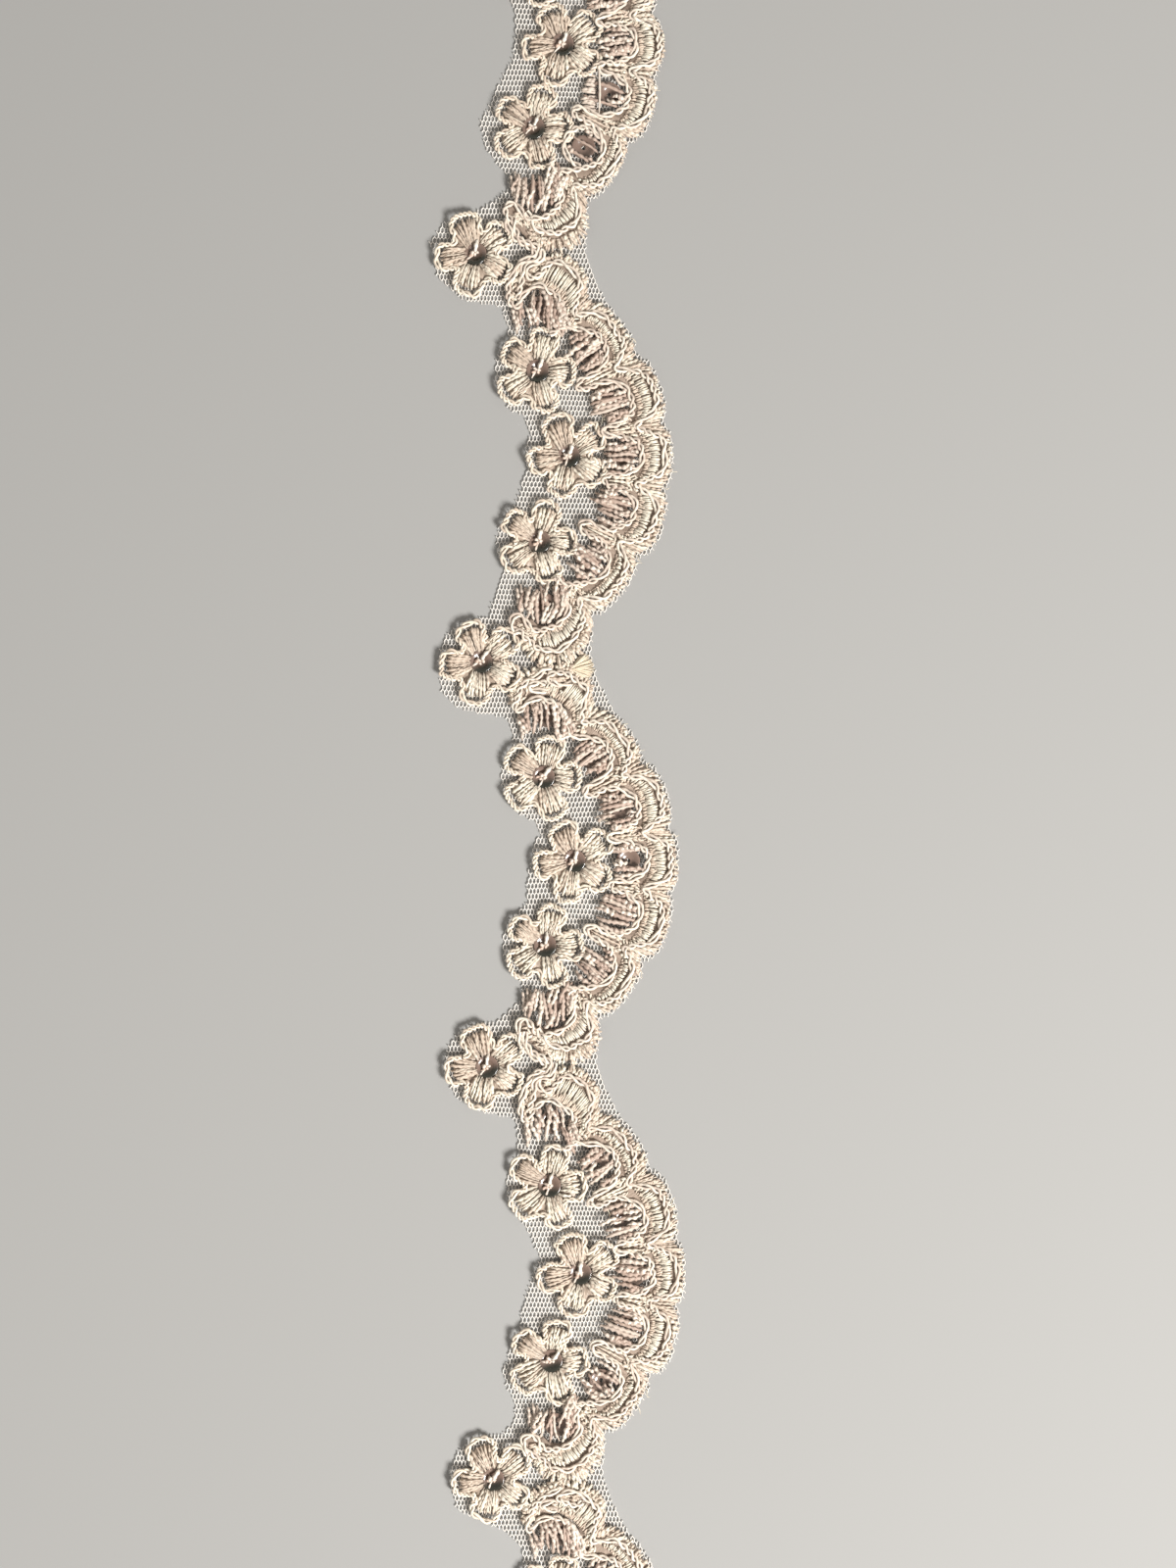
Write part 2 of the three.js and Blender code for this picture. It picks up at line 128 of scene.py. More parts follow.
def part(points, wraps, tone=0.5, along=0.0, across=0.0, top=1.0):
    """Grids of points, count by rows by columns by 3, with what the finish needs at each:
    a tone for the thread, how far along and across it lies, and a share top of light, where
    low values paint shade into the colour."""
    shape = points.shape[:3]
    marks = {"tone": tone, "along": along, "across": across, "top": top}
    return {
        "points": points,
        "wraps": wraps,
        **{key: np.broadcast_to(value, shape) for key, value in marks.items()},
    }


def add_piece(name, parts, material, slot, *nodes):
    """One mesh of four-sided faces between neighbouring points of every grid, in metres."""
    corners, faces, first = [], [], 0
    for grid in parts:
        count, rows, columns = grid["points"].shape[:3]
        index = first + np.arange(count * rows * columns).reshape(count, rows, columns)
        if grid["wraps"]:
            index = np.concatenate([index, index[:, :, :1]], 2)
        square = [index[:, :-1, :-1], index[:, :-1, 1:], index[:, 1:, 1:], index[:, 1:, :-1]]
        faces.append(np.stack(square, -1).reshape(-1, 4))
        corners.append(grid["points"].reshape(-1, 3))
        first += count * rows * columns
    corners, faces = np.concatenate(corners) * 0.001, np.concatenate(faces)
    mesh = bpy.data.meshes.new(name)
    mesh.vertices.add(len(corners))
    mesh.vertices.foreach_set("co", corners.astype(np.float32).ravel())
    mesh.loops.add(faces.size)
    mesh.loops.foreach_set("vertex_index", faces.astype(np.int32).ravel())
    mesh.polygons.add(len(faces))
    mesh.polygons.foreach_set("loop_start", np.arange(0, faces.size, 4, dtype=np.int32))
    at_end = (np.abs(corners[faces][:, :, 1]) > HALF_LENGTH * 0.001 - 3e-4).all(1)
    mesh.polygons.foreach_set("use_smooth", ~at_end)
    for key in ("tone", "along", "across", "top"):
        layer = mesh.attributes.new(key, "FLOAT", "POINT")
        values = np.concatenate([grid[key].reshape(-1) for grid in parts])
        layer.data.foreach_set("value", values.astype(np.float32))
    mesh.update(calc_edges=True)
    mesh.materials.append(material)
    made = bpy.data.objects.new(name, mesh)
    bpy.context.scene.collection.objects.link(made)
    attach(made, "root")
    if nodes:
        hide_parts(*nodes)
    return made


class Value:
    """An output of a shader node. Adding, taking away, multiplying, dividing and raising
    it to a power make Math nodes, and make() adds any other node to its tree."""

    def __init__(self, tree, output=None):
        self.tree = tree
        self.output = output

    def make(self, kind, settings=None, inputs=None, output=0):
        node = self.tree.nodes.new(kind)
        for key, value in (settings or {}).items():
            setattr(node, key, value)
        for key, value in (inputs or {}).items():
            if isinstance(value, Value):
                self.tree.links.new(value.output, node.inputs[key])
            else:
                node.inputs[key].default_value = value
        return Value(self.tree, node.outputs[output])

    def math(self, operation, one, other, clamp=False):
        settings = {"operation": operation, "use_clamp": clamp}
        return self.make("ShaderNodeMath", settings, {0: one, 1: other})

    def __add__(self, other):
        return self.math("ADD", self, other)

    def __radd__(self, other):
        return self.math("ADD", other, self)

    def __sub__(self, other):
        return self.math("SUBTRACT", self, other)

    def __rsub__(self, other):
        return self.math("SUBTRACT", other, self)

    def __mul__(self, other):
        return self.math("MULTIPLY", self, other)

    def __rmul__(self, other):
        return self.math("MULTIPLY", other, self)

    def __truediv__(self, other):
        return self.math("DIVIDE", self, other)

    def __rtruediv__(self, other):
        return self.math("DIVIDE", other, self)

    def __pow__(self, other):
        return self.math("POWER", self, other)

    def held(self):
        """The same, held between nought and one."""
        return self.math("ADD", self, 0.0, clamp=True)


def blank_material(name):
    """An empty finish, as the start of its node tree and its surface node's inputs."""
    material = bpy.data.materials.new(name)
    material.use_nodes = True
    tree = material.node_tree
    return material, Value(tree), tree.nodes["Principled BSDF"]


def mark(start, name):
    """One of the numbers that part() leaves at each point."""
    return start.make("ShaderNodeAttribute", {"attribute_name": name}, output="Fac")


def mixed(start, share, one, other):
    """One colour turned into another by a share."""
    sockets = {0: share, 6: one, 7: other}
    return start.make("ShaderNodeMix", {"data_type": "RGBA"}, sockets, output=2)


def thread_material(name, light, dull, shade, roughness=0.42):
    """Glossy rayon thread. Its own colour lies between dull and light by its tone. Shade is
    painted into it: where the share top is low, down its sides, between its plies and where
    the stitches paint it darker, it turns to the shade colour. Fine noise drawn out along the
    thread stands for its filaments, and also shifts it towards the painted shade."""
    material, start, surface = blank_material(name)
    tone, top = mark(start, "tone"), mark(start, "top")
    spot = start.make(
        "ShaderNodeCombineXYZ",
        inputs={"X": mark(start, "along") * 0.9, "Y": mark(start, "across") * 2.6, "Z": tone * 60},
    )
    noise = {"Vector": spot, "Scale": 1.0, "Detail": 2.5}
    lines = start.make("ShaderNodeTexNoise", inputs=noise, output="Fac")
    own = mixed(start, tone.held(), (*dull, 1), (*light, 1))
    # painted shade: a low share top and dark filament noise mix the shade colour in
    lit = (top * 0.9 + lines * 0.9 - 0.34).held()
    colour = mixed(start, lit, (*shade, 1), own)
    relief = {"Height": lines, "Strength": 0.6, "Distance": 0.0002}
    bump = start.make("ShaderNodeBump", inputs=relief)
    start.tree.links.new(colour.output, surface.inputs["Base Color"])
    start.tree.links.new(bump.output, surface.inputs["Normal"])
    surface.inputs["Roughness"].default_value = roughness
    surface.inputs["Sheen Weight"].default_value = 0.15
    return material


CREAM = (0.925, 0.85, 0.705)
ROSE = (0.74, 0.60, 0.48)
# the last of these colours is painted shade: what the threads turn to low down their sides and in
# the gaps between them
PAINTED_SHADE_BROWN = (0.20, 0.145, 0.105)
pad_thread = thread_material("bobbin thread", (0.56, 0.45, 0.36), (0.40, 0.30, 0.24), PAINTED_SHADE_BROWN, 0.7)
satin_thread = thread_material("satin thread", CREAM, ROSE, PAINTED_SHADE_BROWN)
cord_thread = thread_material("cord thread", (0.89, 0.80, 0.68), (0.66, 0.53, 0.44), PAINTED_SHADE_BROWN, 0.58)


def between_ends(points):
    """Whether spots lie between the two cut ends of the trim."""
    return np.abs(points[..., 1]) < HALF_LENGTH


def bobbin_layer(repeat):
    """A closed layer of eight points round at each of many angles along the arc: flat
    below, gently domed above, from the shells' inner face to their edge. Both ends close
    at a point in their middle."""
    degrees = np.linspace(67.9, -67.9, 420)
    degrees = degrees[between_ends(on_arc(repeat, degrees, 42.0))]
    inner, edge = border_radii(repeat, degrees)
    out = np.array([0.05, 0.0, 0.1, 0.5, 0.85, 1.0, 0.99, 0.9])
    height = np.array([0.1, 0.8, 1.2, 1.35, 1.25, 0.9, 0.5, 0.1])
    edge = edge - 3.2 * np.clip((np.abs(degrees) - 64) / 2.5, 0, 1)
    radius = (inner + 0.35)[:, None] + (edge - inner - 0.95)[:, None] * out
    spots = on_arc(repeat, degrees[:, None], radius)
    height = np.broadcast_to(height[:, None], (len(degrees), 8, 1))
    points = np.concatenate([spots, height], -1)
    points[..., 1] = np.clip(points[..., 1], -HALF_LENGTH, HALF_LENGTH)
    along = np.radians(degrees)[:, None] * 42
    rows = np.concatenate([[0], np.arange(len(degrees)), [len(degrees) - 1]])
    points, radius, along = points[rows], radius[rows], along[rows]
    points[[0, -1]] = points[[0, -1]].mean(1, keepdims=True)
    # the share top held at a half paints the ground about halfway into shade
    return part(points[None], True, 0.4, radius * 1.2, along * 1.2, 0.5)


for key, repeat in REPEATS.items():
    layer = bobbin_layer(repeat)
    add_piece(f"shell_ground_{key}", [layer], pad_thread, "thread", "shell_border")


# Satin bands. Two rows of stitches side by side from each shell's inner cord out to its
# outer cord: a low rosy row, and over its ends a raised cream one. Longer stitches fill
# the tongue between two shells, and small ones the arm beside the first shell.
chance = np.random.default_rng(7)
# The outer cord over half a shell: shares of the way from crest to joint, and of its swell.
TURN_SHARE = np.array([0.88, 0.8, 0.7, 0.6, 0.45, 0.25, 0])
TURN_SWELL = np.array([0.13, 0.3, 0.57, 0.78, 0.92, 1, 1])
# The outer cord's two ends by kind of valley, as spots across and down from the outer
# flower: the heads curl above the first shell, the tails run out below the last one.
HEADS = {
    "meeting": [
        (13.7, -0.7), (13.6, 1.1), (12.9, 2.1), (11.7, 2.2), (10.7, 2.7), (10.4, 3.7),
        (11, 4.7), (12.1, 5), (13.2, 4.4), (14.1, 3.4), (15.2, 2.2), (16.9, 1.8), (19, 2.9),
        (20.4, 4.4), (21.5, 6.3),
    ],
    "apart": [
        (18.2, 4.4), (16.8, 5), (15.3, 4.7), (13.5, 3.8), (13.8, 2.9), (15, 2.4),
        (17.2, 2.5), (18.4, 3.2), (19.6, 4.1), (20.6, 5), (21.5, 6.4),
    ],
}
TAILS = {
    "meeting": [
        (21.2, -7.9), (20.9, -6.4), (20.1, -5.2), (18.6, -4.5), (16.6, -3.5),
        (15.2, -3.7), (13.6, -3.9), (12.2, -4.7), (11.3, -6.1), (10.5, -7.4),
    ],
    "apart": [
        (21.0, -8), (20.4, -6.6), (19.5, -5.2), (18.4, -3.9), (16.9, -2.9), (15.6, -2),
        (14.2, -2.1), (12.7, -2.3), (11.4, -2.9), (10.2, -4), (8.8, -4.9), (7.8, -5.9),
        (7, -5.4),
    ],
}


def outer_path(key):
    """The outer cord's way, as distances across and down from the outer flower. It starts
    in a curl beside the first shell, turns sharply at each joint of two shells, and runs
    out beside the next repeat's outer flower. In every other valley the two shells meet."""
    share = np.concatenate([TURN_SHARE, -TURN_SHARE[-2::-1]])
    swell = np.concatenate([TURN_SWELL, TURN_SWELL[-2::-1]])
    degrees, radius = [], []
    for index in range(7):
        half = np.where(share > 0, UPPER[index] - POCKET[index], POCKET[index] - LOWER[index])
        degrees += [*(POCKET[index] + share * half), LOWER[index]]
        radius += [*(40.5 + (CORD[index] - 40.5) * swell), 40.1]
    degrees, radius = np.array(degrees), np.array(radius)
    shown = (degrees < 50) & (degrees > -49)
    crest = off_centre(degrees[shown], radius[shown])
    tail = np.array(TAILS[VALLEY_BELOW[key]]) + [0, REPEAT]
    return np.concatenate([HEADS[VALLEY_ABOVE[key]], crest, tail])


def smooth_line(spots, step=0.33):
    """A Catmull-Rom curve through the spots, with points at an even step along it."""
    spots = np.asarray(spots, float)
    ends = np.concatenate([2 * spots[:1] - spots[1:2], spots, 2 * spots[-1:] - spots[-2:-1]])
    t = np.linspace(0, 1, 12, endpoint=False)[:, None]
    one, two, three, four = (ends[i : len(spots) - 1 + i, None] for i in range(4))
    curve = two + 0.5 * t * (three - one)
    curve = curve + t**2 * (one - 2.5 * two + 2 * three - 0.5 * four)
    curve = curve + t**3 * (1.5 * (two - three) + 0.5 * (four - one))
    curve = np.concatenate([curve.reshape(-1, spots.shape[1]), spots[-1:]])
    run = np.concatenate([[0], np.cumsum(np.linalg.norm(np.diff(curve, axis=0), axis=1))])
    at = np.linspace(0, run[-1], max(int(run[-1] / step), 2) + 1)
    return np.stack([np.interp(at, run, column) for column in curve.T], -1)


def band_end(key, degrees):
    """The outer cord's radius at some angles: that of its furthest point nearby."""
    away = smooth_line(outer_path(key), 0.15) - [ARC_ACROSS, ARC_DOWN]
    at = np.degrees(np.arctan2(-away[:, 1], away[:, 0]))
    radius = np.hypot(away[:, 0], away[:, 1])
    near = np.abs(at - np.asarray(degrees)[:, None]) < 0.35
    return np.where(near, radius, 40.2).max(1)


def some(low, high, count):
    """Chance numbers between two limits."""
    return chance.uniform(low, high, count)


def for_threads(value, count, long):
    """A value for each of some threads. A pair is a range of chance, and a list holds a
    value for the long threads and one for the others."""
    if isinstance(value, list):
        one, other = (for_threads(item, count, long) for item in value)
        return np.where(long[:, None], one, other)
    if isinstance(value, tuple):
        value = some(*value, count)
    return np.broadcast_to(np.asarray(value, float), (count,))[:, None]


def stitches(start, end, rows=8, shown=True, long=None, **look):
    """Threads from start spots to end spots, but for those not shown and those that the
    trim's cut ends would cut. Each is a closed tube of five-sided rings. Its line bends
    aside as a half sine wave, and by its bow as a whole one. Its height is base plus rise
    times a rounded arch whose highest point is at the share peak. The rings shrink towards
    both ends and swell by the share lump about every 1.3 mm. Light and shade are painted
    into the share top: painted shade low down the sides and deepening towards the start by
    the share dull, and painted light where the thread rises and swells. Chance values are
    drawn in the order of the call."""
    length = np.linalg.norm(end - start, axis=1)
    fits = between_ends(start) & between_ends(end) & (length > 0.4) & shown
    start, end, long = start[fits], end[fits], None if long is None else long[fits]
    count = len(start)
    share = np.linspace(0, 1, rows)
    look = {key: for_threads(value, count, long) for key, value in look.items()}
    width, base, rise, tone = (look[key] for key in ("width", "base", "rise", "tone"))
    bow, bend, dull = (look.get(key, 0.0) for key in ("bow", "bend", "dull"))
    peak, lump = look.get("peak", 0.5), look.get("lump", 0.15)
    run = end - start
    length = np.linalg.norm(run, axis=1, keepdims=True)
    forward = run / length
    aside = np.stack([-forward[:, 1], forward[:, 0]], -1)
    line = start[:, None] + run[:, None] * share[:, None]
    wave = np.sin(np.pi * share) * bend + np.sin(2 * np.pi * share) * bow
    line = line + aside[:, None] * wave[..., None]
    lifted = np.sin(np.pi * share ** (np.log(0.5) / np.log(peak))) ** 0.55
    swell = lump * np.sin(2 * np.pi * share * length / 1.3 + some(0, 6.28, (count, 1)))
    height = base + rise * lifted + swell * width * 0.6
    full = width / 2 * (0.4 + 0.6 * np.clip(np.sin(np.pi * share), 0, 1) ** 0.4) * (1 + swell)
    around = np.radians(90 + 72 * np.arange(5))
    across = full[..., None] * np.cos(around)
    up = height[..., None] + full[..., None] * 0.75 * np.sin(around)
    spots = line[:, :, None] + aside[:, None, None] * across[..., None]
    points = np.concatenate([spots, up[..., None]], -1)
    # Painted light and shade in the share top: darker low down the sides and towards the start by
    # dull, lighter high on the arch and on each swell.
    low = 0.5 + 0.5 * np.sin(around)
    reach = share[:, None] * length[..., None]
    lit = (0.6 + 0.4 * lifted + 0.5 * swell) * (1 - dull * (1 - share) ** 1.5)
    return part(points, True, tone[..., None], reach, np.cos(around), low * lit[..., None])


def shell_span(index, pitch, inset):
    """Angles across one shell, evenly spaced but for a little chance, from joint to joint."""
    size = np.radians(UPPER[index] - LOWER[index]) * 43
    count = int(size / pitch)
    share = (np.arange(count) + 0.5 + some(-0.3, 0.3, count)) / count
    return UPPER[index] - inset - (UPPER[index] - LOWER[index] - 2 * inset) * share


def band_foot(degrees, index):
    """The satin band's inner radius: just outside the inner cord, lower at the joints."""
    joint = np.where(degrees > POCKET[index], UPPER[index], LOWER[index])
    share = np.abs((degrees - POCKET[index]) / (joint - POCKET[index]))
    return (40.5 if index == 0 else 41.2) - 2.3 * share**3


def satin_band(key, repeat):
    """The cream row fills the outer two thirds of the band and leaves a gap of half a
    millimetre beside the outer cord, where the ground's painted shade shows as a dark line
    for the cord's shadow. Its stitches are painted in shade towards their feet by the share
    dull. The rosy row shows inside it, below its ends."""
    made = []
    cream = dict(width=(0.38, 0.52), base=(1.4, 1.52), rise=(0.4, 0.6), tone=(0.7, 1.4))
    cream.update(bow=(-0.05, 0.05), bend=(-0.1, 0.1), peak=0.6, dull=0.42, lump=0.1)
    rosy = dict(width=(0.34, 0.5), base=(1.25, 1.4), rise=(0.15, 0.35), tone=(-0.9, 0.3))
    rosy.update(bow=(-0.08, 0.08), bend=(-0.15, 0.15), lump=0.2, rows=6)
    for index in range(7):
        for outer in (False, True):
            degrees = shell_span(index, 0.42, 0.5)
            degrees = degrees[(degrees < 60.8) & (degrees > -63.2)]
            foot = POCKET[index] + (degrees - POCKET[index]) * 0.88
            count = len(foot)
            low, high = band_foot(foot, index), band_end(key, degrees) - 0.95
            if outer:
                low = low + (high - low) * some(0.15, 0.42, count)
                foot = foot + (degrees - foot) * 0.4 + some(-0.2, 0.2, count)
                high = high + some(-0.2, 0.15, count)
            else:
                high = low + (high - low) * some(0.4, 0.6, count)
                degrees = foot + (degrees - foot) * 0.5 + some(-0.4, 0.4, count)
            if VALLEY_ABOVE[key] == "apart":
                high = np.where(degrees > 55.6, np.minimum(high, 42.9), high)
            start, end = on_arc(repeat, foot, low), on_arc(repeat, degrees, high)
            look = cream if outer else rosy
            made.append(stitches(start, end, shown=high > low + 0.4, **look))
    return made


def tongue_stitches(repeat):
    """Three long stitches side by side along the tongue at each joint of two shells."""
    joints, tips = np.repeat(LOWER[:6], 3), np.repeat(LOWER_TIP[:6], 3)
    beside = np.tile([-0.62, 0.0, 0.62], 6) + some(-0.15, 0.15, 18)
    start = on_arc(repeat, joints + np.degrees(beside * 0.8 / 34), tips + some(0.5, 1.5, 18))
    end = on_arc(repeat, joints + np.degrees(beside * 1.7 / 39), 39.3 + some(-0.9, 0.5, 18))
    look = dict(width=(0.5, 0.7), base=1.4, rise=0.35, tone=(-0.1, 0.9), bend=(-0.2, 0.2))
    return [stitches(start, end, rows=12, lump=0.3, **look)]


def small_stitches(repeat, left, right, count, tone):
    """Short stitches strewn between two lines, each led by the lines but turned a little."""
    left, right = smooth_line(left, 0.1), smooth_line(right, 0.1)
    share, beside = some(0.02, 0.98, count), some(0.1, 0.9, count)
    at = (share * (len(left) - 3)).astype(int) + 1
    on_left, ahead = left[at], left[at + 1] - left[at]
    on_right = right[(share * (len(right) - 3)).astype(int) + 1]
    turn = np.arctan2(ahead[:, 1], ahead[:, 0]) + some(-0.9, 0.9, count)
    middle = on_left + (on_right - on_left) * beside[:, None]
    half = 0.5 * some(0.9, 1.7, count)[:, None] * np.stack([np.cos(turn), np.sin(turn)], -1)
    start, end = place(repeat, middle - half), place(repeat, middle + half)
    look = dict(width=(0.36, 0.6), base=(1.3, 1.6), rise=(0.1, 0.3), tone=tone)
    return stitches(start, end, rows=5, **look)


# The cord down the arm beside the first shell, by kind of valley, and a shorter one inside
# the arm, laid in the same way.
ARMS = {
    "meeting": [
        (6.5, -6.9), (6.9, -4.9), (8.4, -2.8), (10.2, -1.7), (12, -0.4), (12, 0.4),
        (10.5, 1.1), (9, 2.2), (8.1, 3.7), (7.2, 5.4), (6.6, 7.2), (6.7, 9.1), (7.3, 10.6),
        (8.3, 11), (9, 10.3), (9.2, 9.1), (10.2, 8), (11.8, 6.8), (13.1, 6.5), (14.2, 7.2),
        (15.6, 8), (16.8, 9.1), (17.7, 10.6),
    ],
    "apart": [
        (14.2, 1.2), (12, 2.6), (9.8, 3.8), (8.3, 5.2), (7.4, 7.2), (6.8, 9.2), (7.4, 10.3),
        (8.4, 9.5), (9.2, 8.3), (11.2, 7.6), (12.6, 7.5), (14.4, 8.3), (15.8, 9.3),
        (17, 11),
    ],
}
ARM_SIDES = {
    "meeting": [
        (7.9, -6.9), (8.1, -4.9), (9, -3.2), (11, -2.1), (12.8, -1), (12.9, 0.2),
        (12.3, 1.3), (11, 1.8), (9.9, 2.6), (9.6, 4.1), (9.4, 5.9), (8.9, 7.7), (8.3, 9.5),
    ],
    "apart": [(13.2, 6.2), (11.8, 6), (10.3, 5.8), (9.9, 5), (11.8, 4.3), (13.2, 4.5)],
}


def root_stitches(repeat):
    """Small stitches strewn over the root of each tongue, and over the last shell's arm."""
    made = []
    for joint in LOWER[:6]:
        left = off_centre([joint + 3.9, joint + 2.8], [37.8, 41.6])
        right = off_centre([joint - 3.9, joint - 2.8], [37.8, 41.6])
        made.append(small_stitches(repeat, left, right, 30, (-0.3, 1.0)))
    inner = off_centre([-59.5, -62.6, -64, -66.5], [41.6, 40.1, 38.2, 36.8])
    outer = off_centre([-60.5, -63, -64.4, -66.3], [44.6, 42.6, 41.2, 39.4])
    made.append(small_stitches(repeat, inner, outer, 44, (-0.2, 1.0)))
    return made


def arm_stitches(key, repeat):
    """Small stitches strewn over the arm of the first shell and round its curl."""
    if VALLEY_ABOVE[key] == "meeting":
        arm = ARMS["meeting"][7:13], ARM_SIDES["meeting"][8:13]
        corner = [(9.3, -4.5), (11.5, -3.3), (14, -1.9)], [(11, -4.8), (12.8, -3.3), (15, -2.2)]
        curl = [(11.2, 3), (12.8, 2.7)], [(11.4, 4.3), (13, 3.6)]
        crook = [(10.2, 5.8), (13.5, 4.8)], [(10.4, 7), (14, 5.9)]
        return [
            small_stitches(repeat, *arm, 34, (-0.2, 1.0)),
            small_stitches(repeat, *corner, 18, (-0.4, 0.7)),
            small_stitches(repeat, *curl, 8, (0, 1)),
            small_stitches(repeat, *crook, 12, (0, 0.9)),
        ]
    curl = [(14.3, 3), (17.8, 3)], [(14.5, 4.2), (17.6, 4.4)]
    arm = ARMS["apart"][2:6], [(12.5, 4), (11.2, 5), (9.6, 6.6), (8.4, 8.6)]
    crook = [(10.8, 5.2), (14.5, 3.4)], [(11, 6.8), (15, 6.2)]
    return [
        small_stitches(repeat, *curl, 16, (-1.2, 0.1)),
        small_stitches(repeat, *arm, 26, (-0.2, 1.0)),
        small_stitches(repeat, *crook, 26, (0.1, 1.0)),
    ]


for key, repeat in REPEATS.items():
    made = satin_band(key, repeat) + tongue_stitches(repeat)
    made += root_stitches(repeat) + arm_stitches(key, repeat)
    add_piece(f"satin_{key}", made, satin_thread, "thread", "shell_border")


# Short edging. Chunky stitches stand out from the outer cord to the scalloped edge, ragged
# where the edge was cut, and fan out at each joint. Longer ones side by side join the last
# shell of one repeat to the first shell of the next.
def edging(key, repeat):
    """Stitches whose feet crowd towards each joint, by a power of the share of the way from
    it to the crest, so that they fan out there."""
    made = []
    look = dict(width=(0.42, 0.8), base=(0.8, 1.25), rise=(0.25, 0.7), tone=(-0.7, 1.2))
    # the share dull paints shade on each stitch towards its foot by the cord
    look.update(bow=(-0.1, 0.1), bend=(-0.25, 0.25), peak=0.4, dull=0.5, lump=0.3)
    for index in range(7):
        degrees = shell_span(index, 0.5, 0.05)
        degrees = degrees[(degrees < 52) & (degrees > -51)]
        edge = border_radii(repeat, degrees)[1]
        above = degrees > POCKET[index]
        joint = np.where(above, UPPER[index], LOWER[index])
        share = np.abs((joint - degrees) / (joint - POCKET[index]))
        foot = joint + (POCKET[index] - joint) * share ** np.where(share < 0.6, 1.4, 1.0)
        from_cord = band_end(key, foot) + 0.35
        at_end = (index == 0) & above | (index == 6) & ~above
        reach = edge + np.where(at_end, some(-0.2, 0.6, len(foot)), some(-0.5, 0.25, len(foot)))
        reach = np.maximum(reach, from_cord + some(0.7, 1.1, len(foot)))
        start, end = on_arc(repeat, foot, from_cord), on_arc(repeat, degrees, reach)
        made.append(stitches(start, end, rows=9, **look))
    return made


def fringe(line, side, short, long, pitch=0.4, lean=0.3):
    """Start and end spots of stitches that stand off one side of a line. Their length goes
    from short at both ends of the line to long in its middle as a half sine wave."""
    line = smooth_line(line, pitch)
    count = len(line)
    forward = np.gradient(line, axis=0)
    turn = np.arctan2(forward[:, 1], forward[:, 0]) + side * np.pi / 2 + some(-lean, lean, count)
    out = np.stack([np.cos(turn), np.sin(turn)], -1)
    length = short + (long - short) * np.sin(np.pi * np.linspace(0, 1, count))
    length = length + some(-0.3, 0.3, count)
    line = line + out * 0.35
    return line, line + out * length[:, None]


def valley_stitches(key, repeat):
    """Fringes that close a valley: they hang from the last shell's outer cord and stand on
    the first shell's, in two rows each, and on the first shell's arm where the two part."""
    tail, head = TAILS[VALLEY_ABOVE[key]], HEADS[VALLEY_ABOVE[key]]
    if VALLEY_ABOVE[key] == "meeting":
        rows = [
            fringe(tail[:8], -1, 1.6, 3.3, 0.36),
            fringe(tail[1:8], -1, 0.8, 2.0, 0.5),
            fringe(head[9:], -1, 1.3, 1.9, 0.34),
            fringe(head[9:], -1, 0.6, 1.0, 0.6),
        ]
    else:
        rows = [
            fringe(tail[:-2], -1, 1.3, 3.4, 0.36),
            fringe(tail[1:-3], -1, 0.8, 2.0, 0.5),
            fringe(head[4:], -1, 1.4, 2.2, 0.34),
            fringe(head[5:], -1, 0.6, 1.1, 0.6),
            fringe(ARMS["apart"][:6], 1, 1.0, 2.1, 0.34),
            fringe(ARMS["apart"][:5], 1, 0.6, 1.1, 0.6),
        ]
    start = place(repeat, np.concatenate([row[0] for row in rows]))
    end = place(repeat, np.concatenate([row[1] for row in rows]))
    look = dict(width=(0.45, 0.8), base=(0.9, 1.3), rise=(0.3, 0.6), tone=(-0.4, 1.1))
    # the share dull paints shade on each stitch towards its foot
    look.update(bow=(-0.1, 0.1), bend=(-0.25, 0.25), peak=0.45, dull=0.35, lump=0.25)
    return [stitches(start, end, rows=9, **look)]


for key, repeat in REPEATS.items():
    made = edging(key, repeat) + valley_stitches(key, repeat)
    add_piece(f"edging_{key}", made, satin_thread, "thread", "shell_border")


